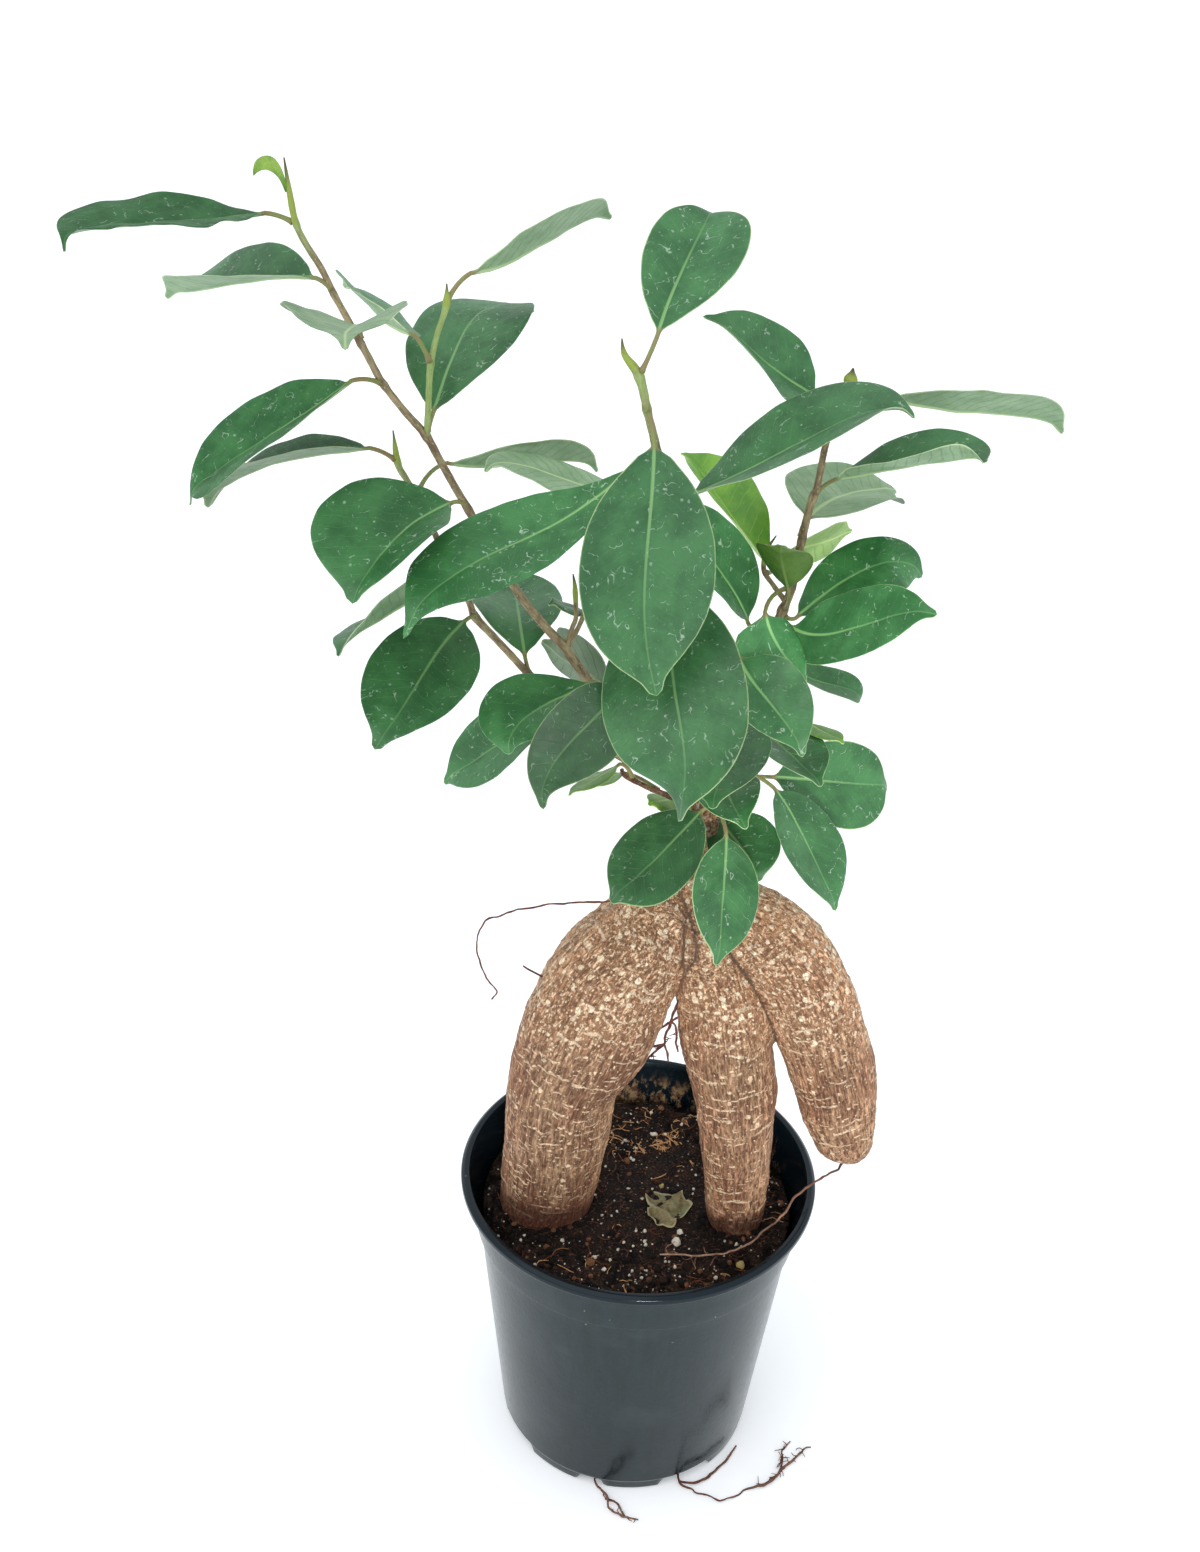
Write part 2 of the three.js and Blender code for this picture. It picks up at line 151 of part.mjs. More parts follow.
function signedVolume({ pos, tri }) {
  let v = 0;
  for (let i = 0; i < tri.length; i += 3) {
    const [a, b, c] = [tri[i] * 3, tri[i + 1] * 3, tri[i + 2] * 3];
    v += pos[a] * (pos[b + 1] * pos[c + 2] - pos[b + 2] * pos[c + 1])
       - pos[a + 1] * (pos[b] * pos[c + 2] - pos[b + 2] * pos[c])
       + pos[a + 2] * (pos[b] * pos[c + 1] - pos[b + 1] * pos[c]);
  }
  return v / 6;
}
const solid = m => new Manifold(new Mesh({ numProp: 3, vertProperties: new Float32Array(m.pos), triVerts: new Uint32Array(m.tri) }));

// Smooth resampling of stations [x, y, z, r]: sub points per span.
function smooth(st, sub) {
  const out = [], n = st.length;
  for (let i = 0; i + 1 < n; i++) for (let j = 0; j < sub; j++) {
    const t = j / sub, a = st[Math.max(i - 1, 0)], b = st[i], c = st[i + 1], d = st[Math.min(i + 2, n - 1)];
    out.push(b.map((_, k) => 0.5 * (2 * b[k] + (c[k] - a[k]) * t + (2 * a[k] - 5 * b[k] + 4 * c[k] - d[k]) * t * t + (3 * b[k] - a[k] - 3 * c[k] + d[k]) * t * t * t)));
  }
  out.push(st[n - 1].slice());
  return out;
}
// Round limb swept along stations, radius grown by grow; wave(theta, z) shapes the section.
function limb(st, sides, sub, grow = 0, wave = null, capA = 0.5, capB = 0.5) {
  const s = smooth(st, sub), n = s.length, P = s.map(a => V(a[0], a[1], a[2]));
  const T = P.map((_, i) => P[Math.min(i + 1, n - 1)].clone().sub(P[Math.max(i - 1, 0)]).normalize());
  let side = Math.abs(T[0].y) < 0.9 ? V(0, 1, 0) : V(1, 0, 0);
  const rings = [];
  for (let i = 0; i < n; i++) {
    side = side.clone().addScaledVector(T[i], -side.dot(T[i])).normalize();
    const up = T[i].clone().cross(side), r = s[i][3] + grow, ring = [];
    for (let k = 0; k < sides; k++) {
      const th = 2 * Math.PI * k / sides, q = r * (wave ? wave(th, P[i].z) : 1);
      ring.push(P[i].clone().addScaledVector(side, Math.cos(th) * q).addScaledVector(up, Math.sin(th) * q));
    }
    rings.push(ring);
  }
  return ringBody(rings, P[0].clone().addScaledVector(T[0], -capA * (s[0][3] + grow)), P[n - 1].clone().addScaledVector(T[n - 1], capB * (s[n - 1][3] + grow)));
}
// Turned body from a profile of [r, z] that starts and ends on the axis.
function turned(prof, seg) {
  const rings = prof.slice(1, -1).map(([r, z]) => Array.from({ length: seg }, (_, k) => {
    const th = 2 * Math.PI * k / seg;
    return V(r * Math.cos(th), r * Math.sin(th), z);
  }));
  return ringBody(rings, V(0, 0, prof[0][1]), V(0, 0, prof[prof.length - 1][1]));
}
function block(points8) { // two rings of four
  return ringBody([points8.slice(0, 4), points8.slice(4)], points8[0].clone().add(points8[2]).multiplyScalar(0.5), points8[4].clone().add(points8[6]).multiplyScalar(0.5));
}
function addNode(name, body, material) {
  const g = new THREE.BufferGeometry();
  let pos, tri;
  if (body.pos) { pos = Float32Array.from(body.pos); tri = Uint32Array.from(body.tri); }
  else {
    const m = body.getMesh();
    pos = new Float32Array(m.numVert * 3);
    for (let i = 0; i < m.numVert; i++) for (let k = 0; k < 3; k++) pos[3 * i + k] = m.vertProperties[i * m.numProp + k];
    tri = Uint32Array.from(m.triVerts);
  }
  g.setAttribute('position', new THREE.BufferAttribute(pos, 3));
  g.setIndex(new THREE.BufferAttribute(tri, 1));
  g.computeVertexNormals();
  const mesh = new THREE.Mesh(g, material);
  mesh.name = name;
  part.add(mesh);
}

// ---------------------------------------------------------------- pot
const deg = Math.PI / 180;
let pot = solid(turned([
  [0, 0], [8, 0], [8.4, FOOT_H], [FOOT_R - 4.4, FOOT_H], [FOOT_R - 3.9, 0], [FOOT_R - 0.2, 0], [FOOT_R + 0.4, 4],
  [46.8, COLLAR_Z], [47.9, COLLAR_Z + 0.8], [49.3, 90], [RIM_R, 91.6], [RIM_R, 93.4], [RIM_R - 1, POT_H], [50.2, POT_H - 0.2], [49.6, 92.6],
  [49, 90], [46, 76], [37, FLOOR_Z], [0, FLOOR_Z]], SEG));
for (let i = 0; i < 8; i++) {
  const [centre, half] = GAPS[i % 2], a = (centre + 90 * Math.floor(i / 2)) * deg, w = half * deg;
  const P = (r, dw, z) => V(r * Math.cos(a + dw), r * Math.sin(a + dw), z);
  const cut = block([P(31, -w * 1.1, -1), P(31, w * 1.1, -1), P(44, w * 1.1, -1), P(44, -w * 1.1, -1),
    P(31, -w * 0.85, FOOT_H - 0.05), P(31, w * 0.85, FOOT_H - 0.05), P(44, w * 0.85, FOOT_H - 0.05), P(44, -w * 0.85, FOOT_H - 0.05)]);
  pot = pot.subtract(solid(cut));
  const cx = HOLE_AT * Math.cos(a), cy = HOLE_AT * Math.sin(a), ring = z => Array.from({ length: 12 }, (_, k) => V(cx + HOLE_R * Math.cos(k * 30 * deg), cy + HOLE_R * Math.sin(k * 30 * deg), z));
  pot = pot.subtract(solid(ringBody([ring(1), ring(FLOOR_Z + 2)], V(cx, cy, 1), V(cx, cy, FLOOR_Z + 2))));
}
addNode('pot', pot, mat(0x3c4546, 0.6));

// ---------------------------------------------------------------- swollen roots, crown and trunk
const waveOf = (a, b, ph) => (th, z) => 1 + a * Math.cos(2 * th + ph + z * 0.03) + b * Math.cos(3 * th - ph + z * 0.09);
const rootBodies = grow => [
  solid(limb(LEFT_ROOT, 18, 2, grow, waveOf(0.02, 0.02, 0.6))),
  solid(limb(MIDDLE_ROOT, 16, 2, grow, waveOf(0.02, 0.025, 2.2))),
  solid(limb(RIGHT_ROOT, 16, 2, grow, waveOf(0.02, 0.02, 4.1), 0.5, 0.6)),
  solid(limb(TRUNK, 14, 1, grow, null, 0.5, 0.5)),
];
// Union; slivers trapped between nearly touching facets are dropped.
const join = list => list.reduce((a, b) => a.add(b)).decompose().reduce((a, b) => (a.volume() > b.volume() ? a : b));
const ginseng = join([...rootBodies(0), solid(limb(LOW_TWIG, 6, 1)), solid(limb(FLANK_HAIR, 5, 1))]);
addNode('ginseng_root', ginseng, mat(0x8a6a4c, 0.9));
const rootClear = join(rootBodies(GAP));
const trunkClear = join([solid(limb(TRUNK, 14, 1, GAP)), solid(limb(LOW_TWIG, 6, 1, GAP))]);

// ---------------------------------------------------------------- soil
const soilRings = [];
const bump = (x, y) => 0.55 * Math.sin(0.43 * x + 1.3) * Math.cos(0.37 * y) + 0.45 * Math.sin(0.21 * x - 0.33 * y + 2) + 0.3 * Math.cos(0.9 * x + 0.7 * y);
soilRings.push(Array.from({ length: SEG }, (_, k) => V(36.5 * Math.cos(2 * Math.PI * k / SEG), 36.5 * Math.sin(2 * Math.PI * k / SEG), FLOOR_Z + GAP)));
for (const [r, dz] of [[45.55, 76 - SOIL_Z], [46.4, -1.6], [45.2, -0.4], [40, 0], [31, 0.2], [21, 0.4], [10, 0.4]])
  soilRings.push(Array.from({ length: SEG }, (_, k) => {
    const th = 2 * Math.PI * k / SEG, x = r * Math.cos(th), y = r * Math.sin(th);
    return V(x, y, SOIL_Z + dz + (r < 45.5 ? bump(x, y) : 0));
  }));
const soil = solid(ringBody(soilRings, V(0, 0, FLOOR_Z + GAP), V(0, 0, SOIL_Z + 0.3 + bump(0, 0)))).subtract(rootClear);
addNode('soil', soil, mat(0x2b2420, 1));

// ---------------------------------------------------------------- shoots
const shoot = (list, grow = 0) => join(list.map((st, i) => solid(limb(st, i ? 6 : 7, 1, grow))));
// Small unfurling leaf beside the top bud of the left shoot.
const budLeaf = limb([[-89.2,-9.3,371,0.45],[-92.5,-9.6,376.6,1.1],[-96.5,-9.8,377.6,1.5],[-99.4,-9.8,375.6,0.9],[-101,-9.8,373.2,0.25]], 6, 1);
addNode('left_shoot', shoot(LEFT_SHOOT).subtract(trunkClear).add(solid(budLeaf)), mat(0x7a7a50, 0.7));
addNode('centre_shoot', shoot(CENTRE_SHOOT).subtract(trunkClear), mat(0x7a7a50, 0.7));
addNode('right_shoot', shoot(RIGHT_SHOOT).subtract(trunkClear), mat(0x7a7a50, 0.7));

// Wood grown by the clearance: every leaf stalk stops short of the wood it comes from.
const WOOD = { left: shoot(LEFT_SHOOT, GAP), centre: shoot(CENTRE_SHOOT, GAP), right: shoot(RIGHT_SHOOT, GAP), low: trunkClear };

// ---------------------------------------------------------------- leaves
const PS = [0, 0.03, 0.08, 0.16, 0.26, 0.38, 0.52, 0.66, 0.78, 0.87, 0.93, 0.965, 1];
const PW = [0.05, 0.16, 0.34, 0.6, 0.82, 0.96, 1, 0.93, 0.76, 0.52, 0.27, 0.12, 0];
const PD = (() => { // slopes of the monotone cubic through the outline table
  const n = PS.length, h = [], d = [], m = new Array(n).fill(0);
  for (let i = 0; i + 1 < n; i++) { h.push(PS[i + 1] - PS[i]); d.push((PW[i + 1] - PW[i]) / h[i]); }
  for (let i = 1; i + 1 < n; i++) if (d[i - 1] * d[i] > 0) {
    const w1 = 2 * h[i] + h[i - 1], w2 = h[i] + 2 * h[i - 1];
    m[i] = (w1 + w2) / (w1 / d[i - 1] + w2 / d[i]);
  }
  m[0] = d[0]; m[n - 1] = d[n - 2];
  return m;
})();
function outline(s) {
  let i = 0;
  while (i + 2 < PS.length && s > PS[i + 1]) i++;
  const h = PS[i + 1] - PS[i], t = (s - PS[i]) / h, t2 = t * t, t3 = t2 * t;
  return (2 * t3 - 3 * t2 + 1) * PW[i] + (t3 - 2 * t2 + t) * h * PD[i] + (-2 * t3 + 3 * t2) * PW[i + 1] + (t3 - t2) * h * PD[i + 1];
}
const BLADE = [0, 0.055, 0.15, 0.29, 0.45, 0.61, 0.76, 0.88, 0.96];
function leaf([name, young, rule, P, Uv, tw, WL, WR, fold, curl, k, A, C]) {
  const p = P.map(a => V(...a)), U = V(...Uv).normalize(), a0 = V(...A), c0 = V(...C);
  const mid = s => V(0, 0, 0).addScaledVector(p[0], (1 - s) ** 3).addScaledVector(p[1], 3 * s * (1 - s) ** 2).addScaledVector(p[2], 3 * s * s * (1 - s)).addScaledVector(p[3], s ** 3);
  const tan = s => V(0, 0, 0).addScaledVector(p[1].clone().sub(p[0]), 3 * (1 - s) ** 2).addScaledVector(p[2].clone().sub(p[1]), 6 * s * (1 - s)).addScaledVector(p[3].clone().sub(p[2]), 3 * s * s).normalize();
  const frame = s => {
    const T = tan(s);
    const S = (rule === 1 ? T.clone().cross(U) : U.clone().addScaledVector(T, -U.dot(T))).normalize();
    const N = S.clone().cross(T), q = tw * (s - 0.4);
    return [S.clone().multiplyScalar(Math.cos(q)).addScaledVector(N, Math.sin(q)), N.clone().multiplyScalar(Math.cos(q)).addScaledVector(S, -Math.sin(q))];
  };
  const rings = [], sgn = fold + curl >= 0 ? -1 : 1;
  const [Sb, Nb] = frame(0);
  for (const t of [0, 0.36, 0.72]) { // stalk
    const M = a0.clone().multiplyScalar((1 - t) ** 2).addScaledVector(c0, 2 * t * (1 - t)).addScaledVector(p[0], t * t);
    const T = c0.clone().sub(a0).multiplyScalar(1 - t).addScaledVector(p[0].clone().sub(c0), t).normalize();
    const S = Sb.clone().addScaledVector(T, -Sb.dot(T)).normalize(), N = S.clone().cross(T);
    rings.push([0, 1, 2, 3, 4, 5, 6, 7].map(i => M.clone().addScaledVector(S, -STALK_R * Math.cos(i * Math.PI / 4)).addScaledVector(N, STALK_R * Math.sin(i * Math.PI / 4))));
  }
  for (const s of BLADE) {
    const M = mid(s), [S, N] = frame(s), w = outline(s ** k);
    const at = (side, v, off) => {
      const W = side < 0 ? WL : WR, d = w * W * v, f = Math.atan2(Math.sin(fold) + 2 * curl * v * w, Math.cos(fold));
      const q = M.clone().addScaledVector(S, side * d * Math.cos(fold)).addScaledVector(N, d * Math.sin(fold) + curl * d * d / W);
      if (off) q.addScaledVector(N, off * Math.cos(v ? f : 0)).addScaledVector(S, -side * off * Math.sin(v ? f : 0));
      return q;
    };
    const t = LEAF_T * Math.min(1, s < 0.5 ? 0.6 + 2 * w : 0.25 + 1.3 * w), up = sgn > 0 ? t : 0, dn = sgn < 0 ? -t : 0;
    rings.push([at(-1, 1, 0), at(-1, 0.5, up * 0.9), at(1, 0, up), at(1, 0.5, up * 0.9), at(1, 1, 0), at(1, 0.5, dn * 0.9), at(1, 0, dn), at(-1, 0.5, dn * 0.9)]);
  }
  const blade = join([solid(ringBody(rings, a0, p[3], 4)).subtract(WOOD[name.split('_')[1]])]);
  addNode(name, blade, mat(young ? 0x7fa53c : 0x35613c, 0.45));
}
LEAVES.forEach(leaf);

// ---------------------------------------------------------------- hair roots
const hairs = list => join(list.map(st => solid(limb(st, 5, 1))));
addNode('crown_hair_root', hairs([CROWN_HAIR]).subtract(rootClear), mat(0x5a4030, 0.9));
addNode('tuber_end_hair_root', hairs([END_HAIR]).subtract(rootClear), mat(0x5a3a28, 0.9));
addNode('arch_hair_roots', hairs(ARCH_HAIR).subtract(rootClear), mat(0x3a2a22, 0.9));
addNode('drain_root_right', hairs(DRAIN_RIGHT), mat(0x4a2c24, 0.9));
addNode('drain_root_left', hairs(DRAIN_LEFT), mat(0x4a2c24, 0.9));

export default part;
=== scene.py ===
import math

import bpy
import numpy as np
from mathutils import Matrix, Vector


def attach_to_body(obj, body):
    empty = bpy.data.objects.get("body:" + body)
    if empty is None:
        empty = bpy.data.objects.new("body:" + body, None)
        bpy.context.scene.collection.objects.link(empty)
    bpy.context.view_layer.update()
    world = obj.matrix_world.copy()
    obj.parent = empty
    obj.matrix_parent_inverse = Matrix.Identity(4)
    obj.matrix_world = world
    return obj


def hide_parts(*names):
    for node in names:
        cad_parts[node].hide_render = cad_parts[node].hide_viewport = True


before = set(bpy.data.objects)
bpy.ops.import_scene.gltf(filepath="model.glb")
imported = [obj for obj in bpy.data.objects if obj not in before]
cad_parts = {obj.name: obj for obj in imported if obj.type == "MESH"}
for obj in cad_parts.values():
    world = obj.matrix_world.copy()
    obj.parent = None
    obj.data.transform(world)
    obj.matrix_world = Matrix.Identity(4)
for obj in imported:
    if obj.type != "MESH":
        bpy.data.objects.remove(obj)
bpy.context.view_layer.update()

# Ficus ginseng bonsai in its nursery pot. Tables are in millimetres, in the frame of the CAD part:
# the origin is the centre of the pot's underside, +Z is up and the front faces -Y.
scene = bpy.context.scene
rng = np.random.default_rng(11)

# ------------------------------------------------------------------ tables
LEFT_ROOT = [[9, 0.5, 183, 8.5], [1.7, 1, 187.5, 10.5], [-2.9, 0, 178.1, 14.5], [-10.6, -3, 165.4, 17.7], [-16.9, -5, 150, 18.6], [-22.7, -5, 131.1, 16], [-24.4,
    -3, 110.7, 15.2], [-25.8, -1, 91.9, 14], [-25.9, 0, 80.7, 13.2], [-25.6, 0, 72, 10.5]]
MIDDLE_ROOT = [[11, 1, 187, 8.5], [12.3, 1, 184.9, 9.8], [16.4, 0, 172.5, 11], [19.8, -3, 162.3, 12.5], [22.4, -6, 148, 13.3], [25.3, -8, 131.2, 12], [27.1, -8.5,
    114.7, 10.6], [28.1, -8, 99.1, 9.6], [29, -7.5, 86.2, 8.1], [29.4, -7, 73.5, 6]]
RIGHT_ROOT = [[11, 0.5, 184, 8.5], [18.1, 1, 187.6, 9.3], [31.1, 0, 179.3, 12.3], [41, -3, 167.8, 12.8], [47.8, -5, 152.9, 12.3], [52.4, -6, 139.1, 11.8], [55.4,
    -6.5, 125.8, 10.7], [58, -6.5, 115.6, 8.6], [59.1, -6.5, 110.2, 6.2]]
TRUNK = [[9.3, 0, 178, 9.5], [9.3, 0, 184, 8.8], [9.2, 0.3, 190, 7], [9.6, 0.4, 198, 5.4], [10.2, 0.3, 208, 4.7], [11.2, 0, 218, 4.6], [12.2, -0.2, 224.5,
    4.4], [12, 0, 226.6, 3]]
LOW_TWIG = [[8.6, 0.6, 217.4, 1.1], [5.2, 2.2, 219.9, 0.9], [2, 3, 221, 0.8], [-2.6, 3, 222.7, 0.7], [-9.6, 3.5, 225.9, 0.65], [-11, 3.5, 227.9, 0.5]]
LEFT_SHOOT = [[[8.3, -1, 220.6, 2], [3.1, -2, 228.8, 1.9], [-4.2, -3, 239.4, 1.8], [-12.3, -4, 249.1, 1.7], [-20.5, -5, 258, 1.55], [-26.5, -6, 267.1, 1.45],
    [-32.3, -6.5, 273.9, 1.3], [-39.3, -7, 283.4, 1.25], [-49.7, -8, 301.9, 1.15], [-56.3, -8.5, 313.9, 1.1], [-60.2, -9, 321.4, 1.15], [-65.9, -9, 328.1,
    1], [-70.3, -9, 334, 1], [-74.2, -9.5, 341.7, 1], [-80.2, -9, 352.8, 0.9], [-83.3, -9, 359.3, 0.9], [-88, -9, 367.5, 0.85], [-89.5, -9, 375.1, 0.75],
    [-90.4, -9, 382.6, 0.2]], [[-60.2, -9, 321.4, 0.9], [-59.7, -9.6, 330.5, 0.85], [-59.1, -10, 338.8, 0.9], [-57.6, -10, 345.8, 0.75], [-55.6, -10,
    352.4, 0.8], [-55.4, -10, 357.3, 0.2]], [[4.2, -0.9, 225.6, 1.5], [-6.4, 1, 230.2, 1.4], [-17.1, 2, 236.9, 1.35], [-27.7, 1, 247.4, 1.25], [-36.3, 0,
    257.1, 1.15], [-43.2, -1, 265.5, 1.1], [-49.1, -2, 272.6, 1.2], [-50.8, -2.5, 277.1, 1], [-54.2, -3, 284.3, 1], [-57.8, -3.5, 292.3, 0.95], [-61.6, -4,
    301.3, 0.9], [-65.5, -4.5, 308.9, 0.9], [-67.5, -5, 313.2, 0.9], [-68.5, -5, 321.1, 0.2]], [[-26.5, -6, 267.7, 0.9], [-25.2, -4, 272, 0.75], [-24.4,
    -2, 274.3, 0.7], [-24.9, 2, 279.5, 0.65], [-25.6, 4, 282.9, 0.2]], [[-26.5, -6, 267.1, 0.9], [-24.5, -2, 269.4, 0.75], [-22.5, 3, 272.6, 0.7], [-21.7,
    6, 276.8, 0.2]]]
CENTRE_SHOOT = [[[10.2, -1, 223.5, 1.9], [8.5, -3, 232.7, 1.8], [5.9, -6, 248.8, 1.7], [2.5, -9, 269.8, 1.6], [-0.7, -12, 289.7, 1.5], [-3.9, -14, 308.1, 1.35],
    [-7.3, -15, 323.4, 1.25], [-9.8, -15.5, 332.5, 1.15], [-12, -16, 340.4, 1.3], [-15.4, -16, 345, 0.8], [-16.2, -16, 348.6, 0.2]]]
RIGHT_SHOOT = [[[12.7, 1, 221.8, 1.9], [17.9, 2, 237.8, 1.8], [22.1, 3, 250.6, 1.6], [24.6, 3.5, 263.4, 1.5], [26.4, 4, 273.5, 1.35], [28.5, 5, 280, 1.25], [30, 6,
    292, 1.2], [31.5, 7, 302.4, 1.2], [33, 8, 308.1, 1.05], [33.9, 9, 316.9, 1], [36.6, 11, 326.8, 0.95], [38.2, 12, 330.8, 1.3], [38.7, 12, 333.6, 1.2],
    [38.9, 12, 335.4, 0.4]], [[28, 5, 277.3, 0.9], [24.3, 7, 281.1, 0.75], [21.9, 9, 284.1, 0.7], [22.1, 10, 288.6, 0.6], [24.2, 10, 293, 0.2]]]
CROWN_HAIR = [[-4, -4, 188.8, 0.45], [-7.6, -6.0, 192.3, 0.45], [-12.0, -9.0, 194.9, 0.44], [-16.2, -11.0, 195.9, 0.44], [-21.0, -12.0, 196.3, 0.43], [-25.9, -12.5,
    195.7, 0.43], [-30.9, -13.0, 194.8, 0.42], [-36.1, -13.5, 193.9, 0.42], [-39.3, -14.0, 193.2, 0.41], [-41.6, -14.0, 191.9, 0.41], [-44.0, -14.5, 191.5,
    0.4], [-45.5, -15.0, 190.5, 0.4], [-46.8, -15.5, 187.9, 0.39], [-47.5, -16.0, 184.6, 0.39], [-47.5, -16.0, 181.7, 0.38], [-46.6, -16.5, 178.2, 0.38],
    [-45.2, -17.0, 174.7, 0.37], [-43.6, -17.0, 172.2, 0.37], [-42.1, -17.0, 170.4, 0.36], [-41.7, -17.0, 169.1, 0.36], [-43.0, -17.0, 166.9, 0.35]]
FLANK_HAIR = [[-26.2, -5.0, 163.9, 0.45], [-29.8, -5.0, 166.1, 0.42], [-32.0, -5.3, 167.6, 0.4], [-34.0, -5.6, 169.0, 0.38], [-35.2, -6.0, 170.2, 0.35]]
END_HAIR = [[59.4, -7, 109.5, 0.5], [58.2, -7.3, 104.4, 0.5], [54.5, -8, 101.6, 0.45], [50.8, -9, 99.9, 0.45], [46.4, -12, 97.8, 0.45], [42.3, -16, 94, 0.45],
    [36.4, -20, 90.4, 0.42], [31.5, -22.4, 87.4, 0.42], [26.6, -24, 85.3, 0.4], [19.6, -25, 84.4, 0.38], [7, -25, 84.2, 0.35]]
ARCH_HAIR = [[[10.1, -7.0, 165.7, 0.5], [8.6, -7.0, 163.3, 0.49], [7.4, -7.0, 160.1, 0.47], [6.7, -7.0, 157.3, 0.46], [6.1, -7.0, 154.5, 0.45]], [[6.1, -7.0,
    154.5, 0.5], [5.7, -7.0, 151.7, 0.47], [5.0, -7.0, 148.9, 0.45], [4.6, -7.0, 146.4, 0.42], [2.8, -6.6, 143.7, 0.4], [1.5, -6.3, 141.7, 0.38], [0.4,
    -6.0, 140.0, 0.35]], [[10.6, -7.0, 156.9, 0.42], [8.8, -7.0, 156.1, 0.42], [7.4, -7.0, 155.5, 0.41], [6.1, -7.0, 154.5, 0.41], [5.3, -7.0, 154.1,
    0.41], [4.0, -6.5, 152.3, 0.41], [2.4, -6.0, 150.6, 0.4], [0.0, -5.5, 148.5, 0.4]], [[6.1, -7.0, 154.5, 0.45], [7.3, -7.2, 153.4, 0.43], [7.9, -7.4,
    151.5, 0.41], [8.2, -7.5, 149.1, 0.39], [8.1, -7.5, 146.6, 0.37], [8.6, -7.5, 144.4, 0.35]], [[4.6, -7.0, 146.4, 0.42], [2.1, -6.6, 145.2, 0.41], [0.4,
    -6.2, 145.9, 0.39], [-2.1, -5.5, 146.6, 0.38]], [[4.6, -7.0, 146.4, 0.42], [5.4, -7.0, 144.0, 0.39], [6.1, -7.0, 140.4, 0.35]]]
DRAIN_RIGHT = [[[14.8, -25.6, 4.6, 0.5], [14.9, -26.2, 2, 0.5], [16.2, -31, 1.3, 0.55], [17.4, -35.6, 1, 0.55], [20.8, -38.2, 0.8, 0.5], [25, -40.4, 0.7, 0.45],
    [29.2, -42.1, 0.7, 0.45], [34.6, -39.3, 0.7, 0.45], [39.8, -36.1, 0.9, 0.6], [44.5, -34.7, 1.1, 0.8], [48.7, -30, 1, 0.7], [53.4, -24.5, 0.8, 0.55],
    [56.4, -20.8, 0.7, 0.45], [58.6, -20.2, 0.7, 0.35]], [[48.7, -30, 1, 0.5], [49.2, -26.4, 0.8, 0.42], [49.9, -21.4, 0.7, 0.42], [52.3, -18.4, 0.7,
    0.35]], [[17.4, -35.6, 1, 0.5], [21.6, -35.8, 0.9, 0.6], [25.6, -33.8, 1.1, 0.7], [31.2, -28.2, 1.2, 0.6], [35.2, -21.4, 1.2, 0.45]]]
DRAIN_LEFT = [[[-7.6, -28.5, 4.6, 0.5], [-7.7, -29.1, 2, 0.5], [-8.3, -33.2, 1.4, 0.5], [-7.7, -38.2, 0.9, 0.5], [-5, -42.9, 0.8, 0.55], [-4.3, -46.4, 0.7, 0.5],
    [-0.1, -48.7, 0.7, 0.45], [4.7, -49.8, 0.7, 0.35]], [[-5, -42.9, 0.8, 0.5], [-1.6, -44.4, 0.8, 0.5], [0.6, -48.6, 0.7, 0.45]]]
GAPS = [[-105, 6], [-60, 13]]
